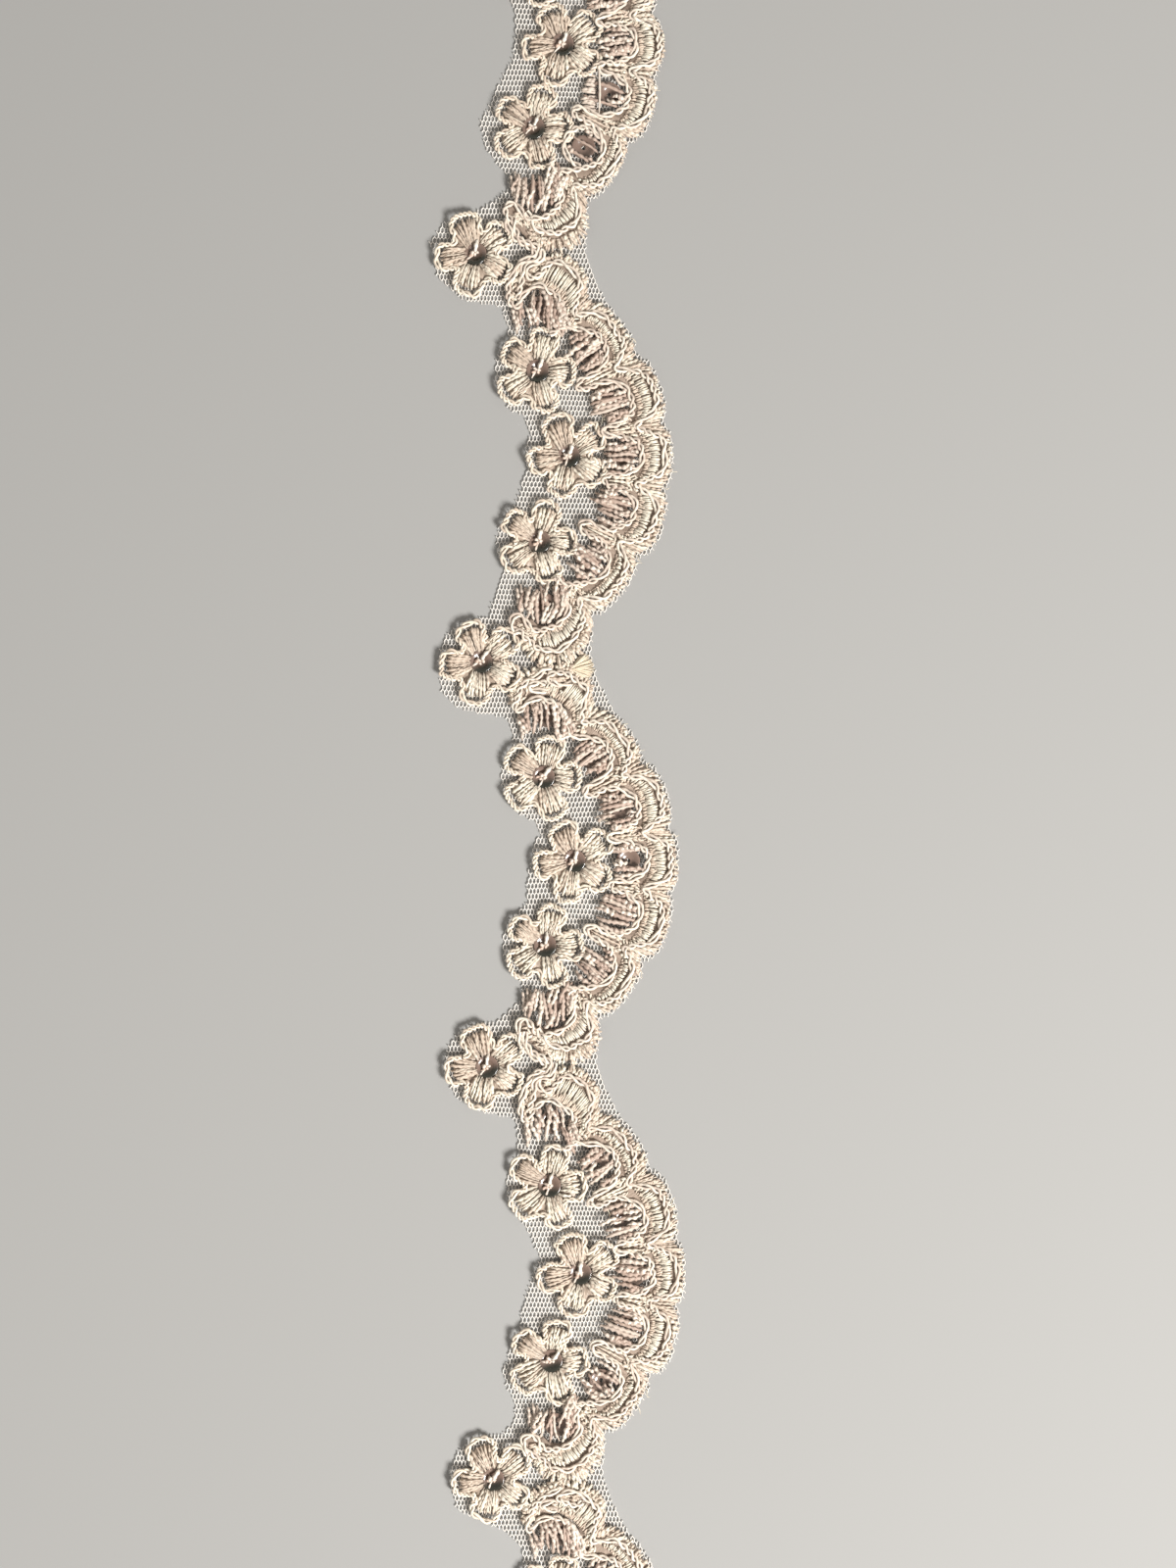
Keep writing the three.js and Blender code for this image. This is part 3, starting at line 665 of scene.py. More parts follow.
# Cords of the shells. Two-ply twisted cord couched over the embroidery: one line swings
# from shell to shell along the outside of the satin, the other runs down the arm, over
# every pocket and round the tip of each tongue.
def twisted_cord(line, ply=0.32, apart=0.38, turn=4.8, tone=0.6):
    """Two round plies along a line of points. Each ply's middle goes round the line as a
    helix, one turn in about the given length, half a turn from the other ply's. The twist
    is uneven: its rate swings along the cord as a sine wave. Shade is painted into the
    share top: on the ply that passes below, low down each ply's sides, and deepest in the
    crease where the plies meet."""
    forward = np.gradient(line, axis=0)
    forward /= np.linalg.norm(forward, axis=1, keepdims=True)
    side = np.stack([-forward[:, 1], forward[:, 0], 0 * forward[:, 0]], -1)
    side /= np.linalg.norm(side, axis=1, keepdims=True)
    up = np.cross(forward, side)
    run = np.linalg.norm(np.diff(line, axis=0), axis=1)
    along = np.concatenate([[0], np.cumsum(run)])
    twist = along + 1.2 * np.sin(along / 2.3 + chance.uniform(0, 6))
    phase = 2 * np.pi * twist / turn + np.array([[0], [np.pi]]) + chance.uniform(0, 6)
    swing = np.cos(phase)[..., None] * side + 0.4 * np.sin(phase)[..., None] * up
    around = np.arange(6) * np.pi / 3
    ring = np.cos(around)[:, None] * side[:, None] + np.sin(around)[:, None] * up[:, None]
    thick = ply * (1 + 0.14 * np.sin(along * 4.6 + chance.uniform(0, 6)))[:, None, None]
    points = (line + apart * swing)[:, :, None] + thick * ring
    # painted shade: darker on the side of each ply that faces the other, in the crease
    beside = np.abs(np.cos(phase))[..., None] * np.cos(around) * np.sign(-np.cos(phase))[..., None]
    top = 0.62 + 0.15 * np.sin(phase)[..., None] + 0.36 * np.sin(around) - 0.7 * beside
    tones = tone + np.array([0.2, -0.25])[:, None, None] + chance.uniform(-0.2, 0.2, (2, 1, 1))
    return part(points, True, tones, along[:, None], np.cos(around) * 0.6, top)


def laid(line, height=1.85, wander=0.11):
    """A cord's line at a height, a little unsteady, kept between the cut ends."""
    count = len(line)
    knots = np.arange(0, count + 4, 4)
    shift = [chance.normal(0, wander, len(knots)) for _ in "xyz"]
    shift = [np.interp(np.arange(count), knots, values) for values in shift]
    line = np.concatenate([line, np.full((count, 1), height)], -1) + np.stack(shift, -1)
    return line[between_ends(line)]


def inner_path(key):
    """The inner cord's way: the arm, then a leaf-shaped loop round each tongue, half as
    wide as 1.15 mm times the root of the distance from its tip, and an arch over each
    pocket. It ends in a hook beside the next repeat's outer flower."""
    path = []
    for index in range(6):
        joint, tip = LOWER[index], LOWER_TIP[index]
        radius = np.linspace(38.3, tip, 7)
        half = 1.15 * np.sqrt(np.clip((radius - tip + 0.3) / 1.3, 0, 1))
        half = half + 0.35 * np.clip(radius - 36.2, 0, None) ** 1.6
        half = np.degrees(half / radius)
        path += list(zip(joint + half, radius)) + [(joint, tip - 0.4)]
        path += list(zip(joint - half[::-1], radius[::-1]))
        if index < 5:
            after = POCKET[index + 1]
            path += [(after + 4, 39.9), (after + 1.6, 40.7), (after - 1.6, 40.7), (after - 4, 39.9)]
    path += [(-50.4, 40.1), (-53.1, 41), (-56.5, 41.3), (-60.2, 40.7), (-63.2, 39.4)]
    path += [(-63.6, 37.6), (-64.5, 36), (-67.2, 35.9), (-68.2, 37.4), (-67.4, 38.7)]
    return np.concatenate([ARMS[VALLEY_ABOVE[key]], off_centre(*np.array(path).T)])


# Short lengths of the same cord join the first and the last shell to the flowers beside
# them, and in the first repeat an oval of it goes on from the arch round the sixth pocket.
LINKS = [
    [(15.2, 16.5), (16.3, 16.1), (17.1, 15.2), (18.2, 14.9)],
    [(15.4, 66.5), (16.4, 67.6), (17.3, 68.0), (18.3, 68.4)],
]
OVAL_TURN = np.array([5.5, 5.9, 5.2, 3.2, 0, -3.2, -5.2, -5.9, -5.5])
OVAL_RADIUS = np.array([39.0, 37.0, 35.0, 33.4, 32.9, 33.4, 35.0, 37.0, 39.0])

for key, repeat in REPEATS.items():
    ways = [outer_path(key), inner_path(key), ARM_SIDES[VALLEY_ABOVE[key]], *LINKS]
    if key == "a":
        ways.append(off_centre(POCKET[5] + OVAL_TURN, OVAL_RADIUS))
    lines = [laid(place(repeat, smooth_line(way))) for way in ways]
    made = [twisted_cord(line) for line in lines if len(line) > 8]
    add_piece(f"shell_cord_{key}", made, cord_thread, "thread", "shell_border")


# Loose stitches of the pockets. Chunky floats lie over each pocket's sequin, from the net on
# the flower side to the inner cord, ragged in length, with shorter ones over their ends.
float_thread = thread_material("float thread", (0.87, 0.76, 0.65), (0.50, 0.37, 0.30), PAINTED_SHADE_BROWN, 0.45)


def floats(key, repeat):
    """Ten long floats a pocket, and shorter ones over them. The first and the last pocket
    have thirteen, which lean towards the middle and go on beside the arms. From the third
    repeat on, more than a third of them are missing over the sequins. The two pockets before
    the last of the first repeat are mostly bare, and a single thread closes one of them."""
    made = []
    missing = {"a": 0.15, "b": 0.06}.get(key, 0.38)
    for index in range(7):
        side = {0: 1, 6: -1}.get(index, 0)
        wide = 13 if side else 10
        share = np.concatenate([np.linspace(-1, 1, wide), some(-0.95, 0.95, wide + 3)])
        share = np.where(share * side > 0, share * 1.65, share)
        count = len(share)
        long = np.arange(count) < wide
        share = share + some(-0.08, 0.08, count)
        if side:
            low = 34 - 1.1 * share * side + some(-0.9, 1.2, count)
        else:
            low = (31.9 if index in (2, 4) else 32.8) + 1.8 * share**2 + some(-0.9, 1.6, count)
        high = 40.4 - 1.6 * share**2
        cut = (high - low) * some(0.3, 0.55, count)
        at_foot = some(0, 1, count) < 0.45
        high = np.where(long, high, np.where(at_foot, low + cut, high))
        low = np.where(long | at_foot, low, high - cut)
        start = on_arc(repeat, POCKET[index] + share * 5.5 - 6 * side + some(-0.6, 0.6, count), low)
        end = on_arc(repeat, POCKET[index] + share * 5.0 + some(-0.7, 0.7, count), high)
        shown = some(0, 1, count) > np.where(np.abs(share) < 0.7, missing, 0.06)
        if key == "a" and index in (4, 5):
            shown &= np.arange(count) % 4 == 2
        look = dict(width=(0.6, 1.05), base=[1.1, 1.4], rise=(0.6, 0.95))
        look.update(tone=[(-0.5, 0.7), (0, 1.2)], bow=(-0.2, 0.2), bend=(-0.45, 0.45))
        made.append(stitches(start, end, 14, shown, long, lump=0.28, **look))
    across = np.array([7.3, 8.2, 7.8, 7.4, 8.3, 9.1, 7.9])
    top = np.array([10.9, 11.3, 12.5, 68.6, 67.9, 68.3, 70.0])
    foot = np.array([14.2, 15.6, 16.4, 72.6, 73.4, 73.0, 73.9])
    start = place(repeat, np.stack([across + some(-0.1, 0.1, 7), top], -1))
    end = place(repeat, np.stack([across + some(0, 0.6, 7), foot], -1))
    look = dict(width=0.75, base=1.0, rise=0.4, tone=0.6, bend=0.2, lump=0.3)
    made.append(stitches(start, end, rows=12, **look))
    if key == "a":
        start, end = fringe([(25.6, 48.6), (25.6, 53.0), (25.5, 57.6)], 1, 2.0, 3.2, 0.5, 0.2)
        look = dict(width=(0.5, 0.8), base=1.1, rise=0.4, tone=0.7, lump=0.2)
        made.append(stitches(place(repeat, start), place(repeat, end), **look))
        start, end = place(repeat, [(25.7, 46.6)]), place(repeat, [(25.6, 56.6)])
        look = dict(width=0.5, base=2.0, rise=0.3, tone=1.0, bend=0.2, lump=0.1)
        made.append(stitches(start, end, rows=14, **look))
    return made


for key, repeat in REPEATS.items():
    made = floats(key, repeat)
    add_piece(f"pocket_floats_{key}", made, float_thread, "thread", "shell_border")


# Flowers. Five petals of satin threads fan out from an eyelet, on a layer of tan bobbin
# thread that is also painted in shade, inside a twisted cord that runs round every petal and
# dips in between them. The threads of the petals that point up and to the left are painted
# duller and rosier: painted shade for the sheen they lose where light falls along them.
FLOWERS = {
    "outer": (0, 0, "leaning"),
    "upper": (12.4, 24.0, "upright"),
    "middle": (18.4, 41.6, "leaning"),
    "lower": (12.2, 59.2, "upright"),
}
PETALS = {
    "leaning": {
        "axis": [-170, -102, -35, 40, 107],
        "length": [8.2, 8.7, 8.1, 8.3, 8.3],
        "notch": [-139, -69, 1, 73, 150],
        "depth": [5.0, 5.9, 4.2, 4.0, 4.3],
    },
    "upright": {
        "axis": [-144, -73, 0, 76, 144],
        "length": [8.6, 8.7, 7.6, 8.3, 8.3],
        "notch": [-108, -43, 42, 110, 180],
        "depth": [5.7, 4.1, 3.7, 4.2, 4.5],
    },
}


def round_spots(centre, degrees, radius):
    """Spots at some angles and distances from a centre on the table."""
    angle = np.radians(degrees)
    return centre + np.stack([radius * np.cos(angle), radius * np.sin(angle)], -1)


def flower_shape(kind):
    """A flower's petals with a little chance in each: the axis and length, the notch after
    it and how deep that is, then the same of the notch before it. Both notches lie in one
    turn with the axis, from -180 to 180 degrees."""
    axis, length, notch, depth = (np.array(row, float) for row in PETALS[kind].values())
    axis += some(-3, 3, 5)
    notch += some(-3, 3, 5)
    length += some(-0.3, 0.25, 5)
    depth += some(-0.4, 0.4, 5)
    before = np.roll(notch, 1) - [360, 0, 0, 0, 0]
    return np.stack([axis, length, notch, depth, before, np.roll(depth, 1)], -1)


def flower_outline(centre, petals):
    """The cord's spots. From its axis towards each notch a petal keeps its length for a
    third of the way, falls to five sixths of it, then runs in to the notch's depth."""
    path = []
    for axis, length, notch, depth, before, deep in petals:
        neck = some(0.6, 0.88, 2)
        way = np.array([0.0, 0.28, 0.5, 0.64, 0.71, neck[0], 1.0])
        back = np.array([neck[1], 0.71, 0.64, 0.5, 0.28])
        full = np.array([1, 0.99, 0.93, 0.83]) * length
        out = [*full, depth + 0.6 * (full[3] - depth), depth + 0.3 * (full[3] - depth), depth]
        into = [deep + 0.3 * (full[3] - deep), deep + 0.6 * (full[3] - deep), *full[:0:-1]]
        path += list(zip(axis + (before - axis) * back, into))
        path += list(zip(axis + (notch - axis) * way, out))
    path = np.array(path + [path[0]])
    path[-1, 0] += 360
    return round_spots(centre, path[:, 0], path[:, 1])


def petal_threads(centre, petals):
    """Seven thick threads a petal and eight thinner or shorter ones over them. They leave
    the eyelet closer together than they arrive, and stop just short of the cord."""
    made = []
    for axis, length, notch, _, before, _ in petals:
        share = np.concatenate([np.linspace(-1, 1, 7), some(-0.9, 0.9, 8)])
        thick = np.arange(15) < 7
        share = share + some(-0.1, 0.1, 15)
        side = np.where(share > 0, notch - axis, axis - before)
        # dull marks the petals that point up and to the left; their threads get a low tone, painted
        # shade for the sheen they lose as light falls along them
        dull = 95 < axis % 360 < 200
        eyelet = np.where(thick, 2.35, some(2.1, 3.7, 15)) - (0.5 if dull else 0)
        start = round_spots(centre, axis + share * side * 0.93, eyelet + some(-0.2, 0.2, 15))
        ragged = np.where(thick, some(-0.4, 0.1, 15), some(-2, 0, 15))
        reach = length - 1.0 - 0.9 * share**4 + ragged
        end = round_spots(centre, axis + share * side * 0.58 + chance.uniform(-3, 3), reach)
        look = dict(tone=(-0.6, 0.4) if dull else (0, 1.3), width=[(0.6, 0.9), (0.26, 0.45)])
        look.update(base=[1.2, 1.5], rise=(0.35, 0.6), bow=(-0.08, 0.08), bend=(-0.25, 0.25))
        # the share dull paints shade on each thread towards the eyelet
        made.append(stitches(start, end, 11, long=thick, peak=0.6, dull=0.35, lump=0.22, **look))
    return made


def petal_ground(centre, petals):
    """A closed ring of eight points round at each angle, from the eyelet to inside the
    cord. Its reach falls from 1.5 mm short of a petal's tip to the notch as a superellipse
    of the share of the way from the petal's axis to the notch."""
    degrees = np.linspace(-180, 180, 109)
    reach = np.zeros(109)
    for axis, length, notch, depth, before, deep in petals:
        for turn in (-360, 0, 360):
            off = degrees + turn - axis
            share = np.where(off > 0, off / (notch - axis), off / (before - axis))
            low = np.where(off > 0, depth, deep) - 0.35
            full = np.clip(1 - np.clip(share * 1.12, 0, 1) ** 3.2, 0, 1) ** (1 / 2.6)
            near = (share >= 0) & (share <= 1)
            reach = np.maximum(reach, np.where(near, low + (length - 1.5 - low) * full, 0))
    reach = np.maximum(reach, 3.2)
    out = np.array([0.05, 0, 0.03, 0.5, 0.9, 1, 0.99, 0.9])
    height = np.array([0.1, 0.5, 1.1, 1.3, 1.2, 0.9, 0.5, 0.1])
    radius = 2.35 + (reach - 2.35)[:, None] * out
    spots = round_spots(centre, degrees[:, None], radius)
    points = np.concatenate([spots, np.broadcast_to(height[:, None], (109, 8, 1))], -1)
    cut = HALF_LENGTH - 0.03 * (9 - radius)
    points[..., 1] = np.clip(points[..., 1], -cut, cut)
    # the share top held at 0.3 paints the ground mostly in shade under the petals' threads
    return part(points[None], True, 0.0, radius, np.radians(degrees)[:, None] * 5, 0.3)


for key, repeat in REPEATS.items():
    for name, (across, down, kind) in FLOWERS.items():
        node = f"flower_{key}_{name}"
        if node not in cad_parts:
            continue
        centre = place(repeat, (across, down))
        petals = flower_shape(kind)
        outline = laid(smooth_line(flower_outline(centre, petals)), 1.55, 0.16)
        made = [petal_ground(centre, petals)] + petal_threads(centre, petals)
        made.append(twisted_cord(outline, 0.32, 0.32, 2.8, 0.5))
        add_piece(f"petals_{key}_{name}", made, satin_thread, "thread", node)


# Sequins. Small clear smoky cups with a hole in the middle, 4.6 mm in the flowers and
# 4.8 mm in the pockets, each tipped a little as it lies. Near the rim on the lower side
# they are painted darker: a painted shadow, deep in the flowers, where the petals' inner
# ends stand over them, and faint in the pockets.
sequin_plastic, start, surface = blank_material("smoky sequin")
# painted shadow: the share top mixes near-black into the smoky brown
colour = mixed(start, mark(start, "top"), (0.030, 0.030, 0.022, 1), (0.30, 0.20, 0.16, 1))
start.tree.links.new(colour.output, surface.inputs["Base Color"])
surface.inputs["Roughness"].default_value = 0.22
surface.inputs["Coat Weight"].default_value = 0.35
surface.inputs["Alpha"].default_value = 0.9


def sequin(centre, radius, height, dark):
    """A cup as rings round its hole: it rises towards the rim by a smooth step, and its
    under side is 0.12 mm below. Tipped about a level line by a few degrees. A shadow is
    painted on its lower side, deeper towards the rim, by the share dark, and a highlight is
    painted along the rim itself."""
    around = np.arange(28) * 2 * np.pi / 28
    share = np.array([0.19, 0.3, 0.45, 0.6, 0.75, 0.9, 1.0])
    lift = 0.55 * np.clip((share - 0.3) / 0.5, 0, 1) ** 1.5
    size = np.concatenate([share, [1.01], share[::-1]]) * radius
    level = np.concatenate([lift, [lift[-1] - 0.06], lift[::-1] - 0.12])
    rim = np.concatenate([share, [1], share[::-1]])[:, None]
    # painted shadow on the lower side, growing towards the rim; a painted highlight on the rim
    near = np.clip(np.cos(around - np.radians(chance.uniform(268, 300))), 0, 1)
    shade = np.clip(0.7 - dark * near * rim + 0.2 * (rim > 0.9), 0, 1)
    tip, way = chance.uniform(0.02, 0.09), chance.uniform(0, 2 * np.pi)
    x = size[:, None] * np.cos(around)
    y = size[:, None] * np.sin(around)
    z = height + level[:, None] + tip * (x * np.cos(way) + y * np.sin(way))
    points = np.stack([centre[0] + x, centre[1] + y, z], -1)
    return part(points[None, :, ::-1], True, 0.5, 0, 0, shade[:, ::-1])


for key, repeat in REPEATS.items():
    for name, (across, down, _) in FLOWERS.items():
        node = f"sequin_flower_{key}_{name}"
        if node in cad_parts:
            made = [sequin(place(repeat, (across, down)), 2.3, 0.95, 1.3)]
            add_piece(f"cup_{key}_{name}", made, sequin_plastic, "sequin", node)
    for index in range(7):
        node = f"sequin_shell_{key}_{index + 1}"
        centre = on_arc(repeat, POCKET[index], POCKET_RADIUS)
        if abs(centre[1]) > HALF_LENGTH - 2:
            continue
        nodes = [node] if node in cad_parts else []
        made = [sequin(centre, 2.4, 1.05, 0.4)]
        add_piece(f"cup_{key}_{index + 1}", made, sequin_plastic, "sequin", *nodes)


# Threads that hold the sequins. In each flower a thick pale thread comes up through the hole
# to a small rosy knot and goes down at the petals' edge, mostly up and to the right.
tack_thread = thread_material("tack thread", (0.94, 0.87, 0.77), (0.72, 0.52, 0.42), PAINTED_SHADE_BROWN, 0.4)


def tack(centre):
    """Seven short threads: one up to the petals' edge, one back the other way, and five
    round the hole as the knot."""
    lean = np.radians(chance.uniform(52, 88))
    back = lean + np.pi * chance.uniform(0.7, 1.05)
    turns = np.array([lean, back, lean + 1.4, lean + 2.3, lean - 1.2, back + 0.9, back - 0.7])
    into = np.array([0.1, 0.1, 0.0, 0.3, -0.2, -0.2, 0.2])
    out = np.array([2.7, 2.4, 1.1, 1.5, 0.75, 0.7, 1.1]) * some(0.9, 1.1, 7)
    way = np.stack([np.cos(turns), np.sin(turns)], -1)
    start, end = centre + way * into[:, None], centre + way * out[:, None]
    width = np.array([0.85, 0.45, 0.75, 0.7, 0.65, 0.6, 0.6]) * some(0.85, 1.15, 7)
    base = np.array([1.5, 1.3, 1.45, 1.3, 1.5, 1.45, 1.35])
    rise = np.array([0.5, 0.3, 0.35, 0.35, 0.3, 0.3, 0.3])
    tone = np.array([1.1, 0.6, 0.5, 0.1, 0.6, 0.3, 0.2]) + some(-0.2, 0.2, 7)
    look = dict(width=width, base=base, rise=rise, tone=tone, bend=(-0.2, 0.2), lump=0.2)
    return stitches(start, end, **look)


for key, repeat in REPEATS.items():
    made = [
        tack(place(repeat, (across, down)))
        for name, (across, down, _) in FLOWERS.items()
        if f"sequin_flower_{key}_{name}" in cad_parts
    ]
    if made:
        add_piece(f"tacks_{key}", made, tack_thread, "thread")


# Tuft and stray fibres. A cut tuft of cream thread sticks out of the valley between the
# second and third repeat, and a few loose fibres stand off the edge.
tuft_thread = thread_material("cream tuft", (0.96, 0.86, 0.67), (0.86, 0.72, 0.53), PAINTED_SHADE_BROWN, 0.5)


def tuft():
    """Thin threads that fan out from one spot by 80 degrees to a rounded end."""
    share = np.linspace(-1, 1, 48)
    degrees = 9 + share * 41 + some(-2, 2, 48)
    root = [18.2 + some(-0.2, 0.2, 48), 1.6 + some(-0.2, 0.2, 48)]
    start = place(REPEATS["c"], np.stack(root, -1))
    end = round_spots(start, degrees, 4.7 - 0.4 * share**2 + some(-0.2, 0.15, 48))
    look = dict(width=(0.36, 0.5), base=(0.9, 1.7), rise=0.2, tone=(-0.2, 1), lump=0.05)
    return stitches(start, end, rows=6, **look)


def fibres():
    """Fine curved threads that lead 1.2 to 2.6 mm away from spots on the embroidery."""
    made = []
    for repeat in REPEATS.values():
        degrees = np.concatenate([some(-45, 45, 5), some(10, 40, 3)])
        outside = border_radii(repeat, degrees)[1] - 0.7
        start = on_arc(repeat, degrees, np.where(np.arange(8) < 5, outside, 34.0))
        way = np.where(np.arange(8) < 5, some(-60, 60, 8) + degrees, some(100, 250, 8))
        end = round_spots(start, way, some(1.2, 2.6, 8))
        look = dict(bend=(-0.8, 0.8), bow=(-0.4, 0.4), width=(0.13, 0.2), base=(1.0, 1.6))
        made.append(stitches(start, end, rows=14, rise=0.1, tone=0.8, **look))
    return made


add_piece("tuft", [tuft(), *fibres()], tuft_thread, "thread", "shell_border")


# Net ground. Fine bobbinet in a light nylon: staggered rows of six-sided holes, cut by hand
# close to the embroidery, with stubs of its threads left standing along the cut.
LEFT_CUT = {
    "down": [
        3.4, 6.6, 9.2, 10.6, 11.4, 14.4, 17.6, 31.4, 33.0, 38.6, 43.0, 49.2, 52.4, 56.0,
        61.6, 64.0, 67.0, 69.4, 72.0, 74.4, 76.6, 80.2, 81.6,
    ],
    "a": [
        -8.4, -5.8, 0, 5.0, 5.4, 6.0, 6.4, 8.2, 8.8, 8.8, 8.2, 4.6, 3.4, 1.2,
        2.6, 4.4, 6.8, 7.2, 4.2, 0.2, -6.4, -9.0, -9.8,
    ],
    "b": [
        -8.5, -5.8, -2.6, 5.0, 5.4, 6.2, 6.6, 6.0, 9.6, 11.2, 10.2, 8.0, 7.2, 6.0,
        5.6, 5.2, 4.0, 3.2, 2.2, 1.8, -5.6, -7.8, -8.4,
    ],
    "c": [
        -8.7, -8.1, -5.6, -0.6, 4.8, 6.0, 6.2, 7.2, 10.8, 12.4, 9.0, 8.6, 7.6, 4.4,
        5.4, 6.2, 7.4, 7.4, 4.4, 1.6, -4.6, -7.6, -8.2,
    ],
    "d": [
        -8.2, -5.4, -1.6, 5.2, 5.6, 6.0, 5.8, 6.4, 7.6, 10.2, 8.6, 6.4, 6.2, 5.6,
        2.0, 2.8, 4.0, 4.8, 4.2, 2.0, -4.6, -7.6, -8.2,
    ],
    "e": [
        -8.4, -7.4, -1.6, 1.8, 3.0, 5.8, 6.0, 6.6, 9.0, 10.8, 9.6, 7.6, 7.0, 5.6,
        5.0, 5.0, 5.4, 4.8, 3.4, 1.8, -4.6, -7.6, -8.2,
    ],
}
RIGHT_CUT = {
    "down": [-4, 0, 4.4, 10.0, 14.4, 20.4, 24.8, 28.0],
    "across": [22.6, 22.6, 24.0, 26.8, 29.6, 32.8, 36.2, 38.2],
}


def net_limits():
    """The net's left and right edge at heights 0.25 mm apart. Left is the cut or the circle
    round a flower, whichever lies further out, right the embroidery's edge or the cut."""
    y = np.arange(-HALF_LENGTH, HALF_LENGTH + 0.1, 0.25)
    left, right = np.full(len(y), 1e3), np.full(len(y), -1e3)
    for key, repeat in REPEATS.items():
        down = (repeat["y"] - y) * REPEAT / repeat["stretch"]
        start = repeat["x"] + MIDDLE_SHIFT + 1.2 * down / REPEAT
        cut = start + np.interp(down, LEFT_CUT["down"], LEFT_CUT[key])
        left = np.where((down >= 3.4) & (down <= 81.6), np.minimum(left, cut), left)
        for across, below, _ in FLOWERS.values():
            centre = place(repeat, (across, below))
            beside = np.sqrt(np.clip(8.8**2 - (y - centre[1]) ** 2, 0, None))
            left = np.where(beside > 0, np.minimum(left, centre[0] - beside), left)
        degrees = np.linspace(68, -68, 900)
        spots = on_arc(repeat, degrees, border_radii(repeat, degrees)[1] + 0.2)
        near = np.abs(spots[:, 1] - y[:, None]) < 0.5
        right = np.maximum(right, np.where(near, spots[:, 0], -1e3).max(1))
        cut = start + np.interp(down, RIGHT_CUT["down"], RIGHT_CUT["across"])
        right = np.where((down >= -4) & (down <= 28), np.maximum(right, cut), right)
    return y, left, right


def hidden(x, y):
    """Whether net lies wholly under embroidery: between a shell's foot and its edge, or
    under a petal. A spot's place in its repeat is found by going back through place()."""
    out = np.zeros(x.shape, bool)
    for repeat in REPEATS.values():
        down = (repeat["y"] - y) * REPEAT / repeat["stretch"]
        for _ in range(3):
            slid = repeat["slip"] * np.sin(np.pi * np.clip(down / REPEAT, 0, 1) ** 2)
            down = (repeat["y"] - y - slid) * REPEAT / repeat["stretch"]
        across = x - MIDDLE_SHIFT - repeat["x"] - 1.2 * down / REPEAT
        degrees = np.degrees(np.arctan2(ARC_DOWN - down, across - ARC_ACROSS))
        radius = np.hypot(ARC_DOWN - down, across - ARC_ACROSS)
        inner, edge = border_radii(repeat, degrees)
        out |= (np.abs(degrees) < 67) & (radius > inner + 0.8) & (radius < edge - 0.8)
        for over, below, kind in FLOWERS.values():
            aside, under = across - over, below - down
            angle = np.degrees(np.arctan2(under, aside))
            off = np.abs((angle - PETALS[kind]["axis"][2] + 36) % 72 - 36) / 36
            far = np.hypot(aside, under)
            out |= (far > 2.9) & (far < 3.8 + 2.5 * (1 - off**3.2) ** (1 / 2.6))
    return out


def net_strands():
    """Threads of the net: in rows 1.04 mm apart, staggered by half a column of 0.75 mm, an
    upright of 0.58 mm stands on each junction and two slanting ones lead to the next row."""
    y_at, left, right = net_limits()
    column, row, upright = 0.75, 1.04, 0.58
    rows = np.arange(int(2 * HALF_LENGTH / row) + 1)
    columns = np.arange(-40, 42)
    i, j = np.meshgrid(rows, columns, indexing="ij")
    x = (j + 0.5 * (i % 2)) * column
    y = -HALF_LENGTH + 0.1 + i * row
    foot = np.stack([x, y], -1)
    head = foot + [0, upright]
    west = foot + [-column / 2, row]
    east = foot + [column / 2, row]
    a = np.stack([foot, head, head], 2).reshape(-1, 2)
    b = np.stack([head, west, east], 2).reshape(-1, 2)

    def bent(spots):
        """The net's grain is drawn a little out of straight by the stitching."""
        x, y = spots[:, 0], spots[:, 1]
        shift_x = 0.25 * np.sin(y / 9 + x / 14) + 0.12 * np.sin(y / 3.1 + x / 4.3)
        shift_y = 0.25 * np.sin(x / 8 - y / 17) + 0.10 * np.sin(x / 3.3 + y / 5.1)
        return spots + np.stack([shift_x, shift_y], -1)

    a, b = bent(a), bent(b)
    middle = (a + b) / 2
    limits = [np.interp(middle[:, 1], y_at, edge) for edge in (left, right)]
    inside = (middle[:, 0] > limits[0]) & (middle[:, 0] < limits[1])
    inside &= between_ends(a) & between_ends(b)
    area = inside.sum() / 3 * column * row
    shown = inside & ~hidden(middle[:, 0], middle[:, 1])
    return a[shown], b[shown], area


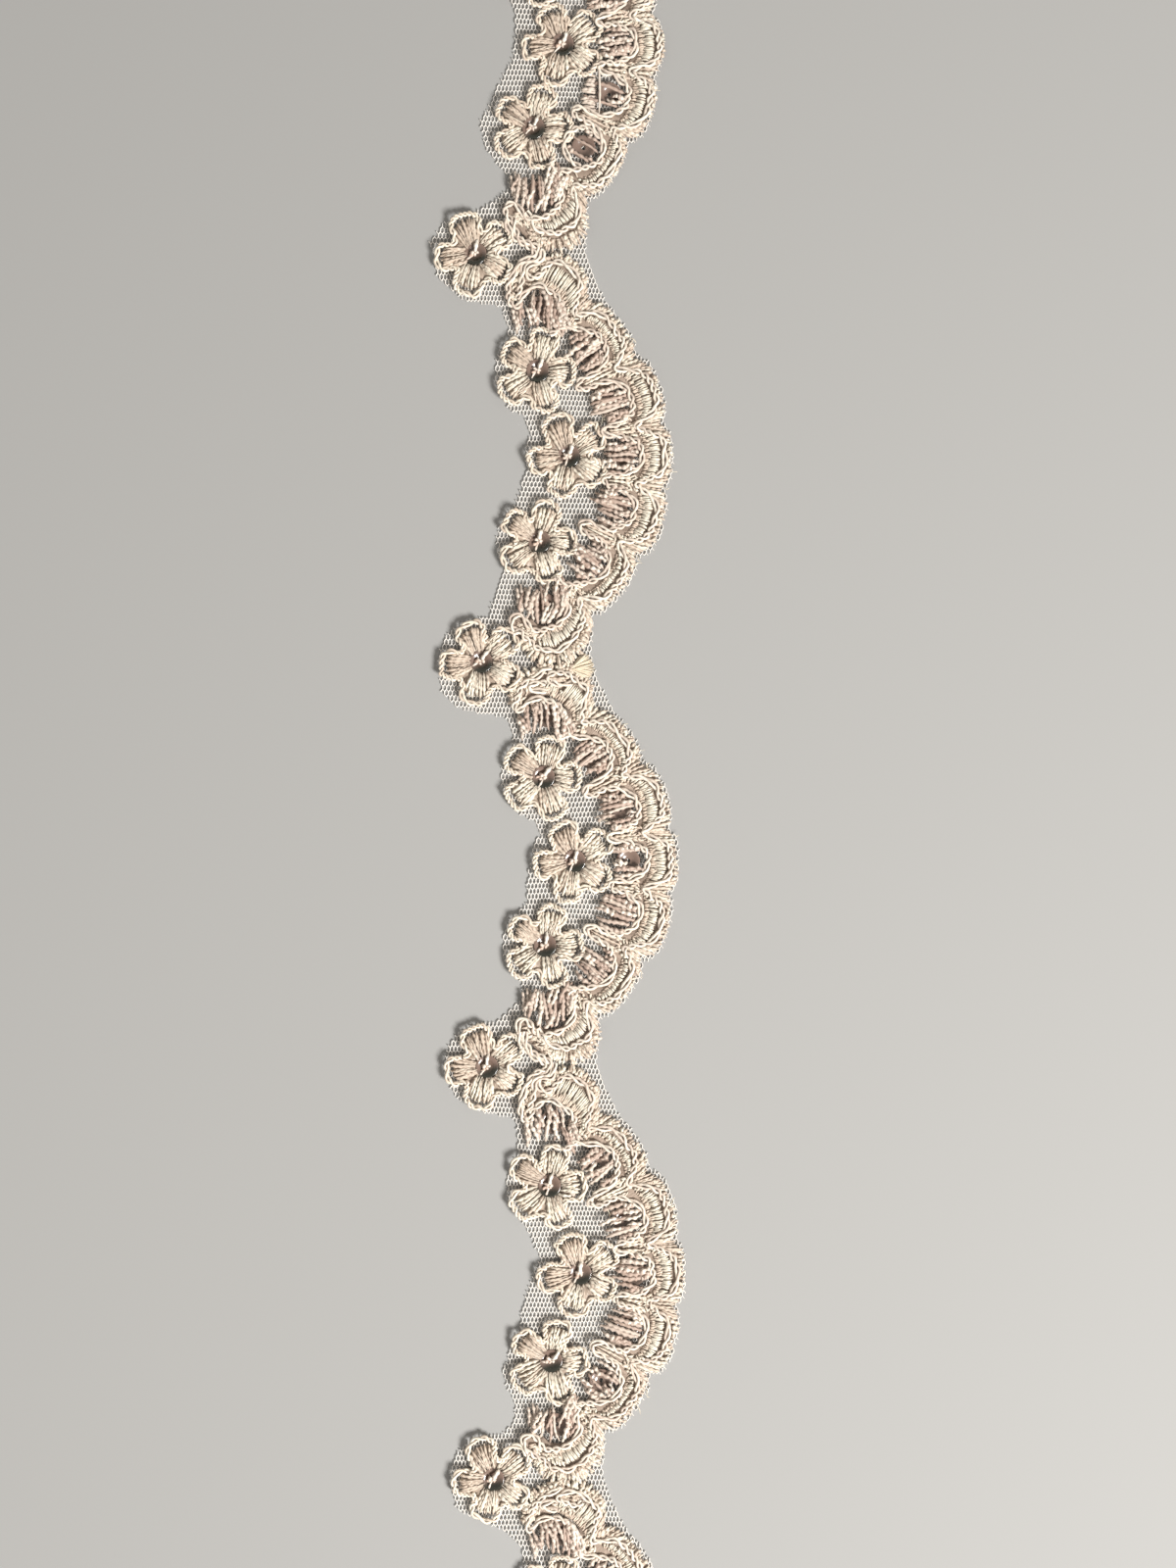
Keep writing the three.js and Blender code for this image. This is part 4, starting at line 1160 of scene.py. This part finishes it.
def net_grid(a, b):
    """Each thread as an open three-sided prism."""
    run = b - a
    forward = run / np.linalg.norm(run, axis=1, keepdims=True)
    a, b = a - forward * 0.05, b + forward * 0.05
    aside = np.stack([-forward[:, 1], forward[:, 0]], -1)
    around = np.radians([90, 210, 330])
    size = 0.135
    ends = np.stack([a, b], 1)
    spots = ends[:, :, None] + aside[:, None, None] * (np.cos(around) * size)[:, None]
    level = 0.34 + 0.08 * np.sin(ends[..., 0] / 5 + ends[..., 1] / 7)
    height = level[..., None] + np.sin(around) * size
    points = np.concatenate([spots, height[..., None]], -1)
    return part(points, True, 0.5, 0, 0, 0.5 + 0.5 * np.sin(around))


net_nylon, start, surface = blank_material("net nylon")
surface.inputs["Base Color"].default_value = (0.94, 0.89, 0.83, 1)
surface.inputs["Roughness"].default_value = 0.5
one_end, other_end, net_area = net_strands()
net = add_piece("net", [net_grid(one_end, other_end)], net_nylon, "net", "net_ground")
net_area * 1e-6


# Table, camera and light. A plain pale table, a camera straight above, and a soft light
# from the lower right with a weak fill from all round.
bpy.ops.mesh.primitive_plane_add(size=4)
table = bpy.context.object
table.name = "table"
table_material, start, surface = blank_material("pale table")
surface.inputs["Base Color"].default_value = (0.35, 0.345, 0.335, 1)
surface.inputs["Roughness"].default_value = 0.8
table.data.materials.append(table_material)

scene = bpy.context.scene
lens = bpy.data.cameras.new("camera")
lens.lens, lens.sensor_width = 50, 36
lens.clip_start = 0.01
camera = bpy.data.objects.new("camera", lens)
camera.location = (0.006276, 0, 0.4455)
scene.collection.objects.link(camera)
scene.camera = camera


def soft_light(name, spot, size, power, colour):
    """A square lamp at a spot, turned to face the middle of the trim."""
    lamp = bpy.data.lights.new(name, "AREA")
    lamp.size, lamp.energy, lamp.color = size, power, colour
    light = bpy.data.objects.new(name, lamp)
    light.location = spot
    away = -np.array(spot)
    flat = np.hypot(away[0], away[1])
    light.rotation_euler = (np.arctan2(flat, -away[2]), 0, np.arctan2(away[1], away[0]) - np.pi / 2)
    scene.collection.objects.link(light)


soft_light("window", (0.72, -0.62, 0.85), 0.35, 26.6, (1.0, 0.99, 0.97))
world = bpy.data.worlds.new("room")
world.use_nodes = True
world.node_tree.nodes["Background"].inputs[0].default_value = (1, 0.965, 0.91, 1)
world.node_tree.nodes["Background"].inputs[1].default_value = 0.45
scene.world = world
scene.view_settings.view_transform = "Standard"

bpy.context.view_layer.update()
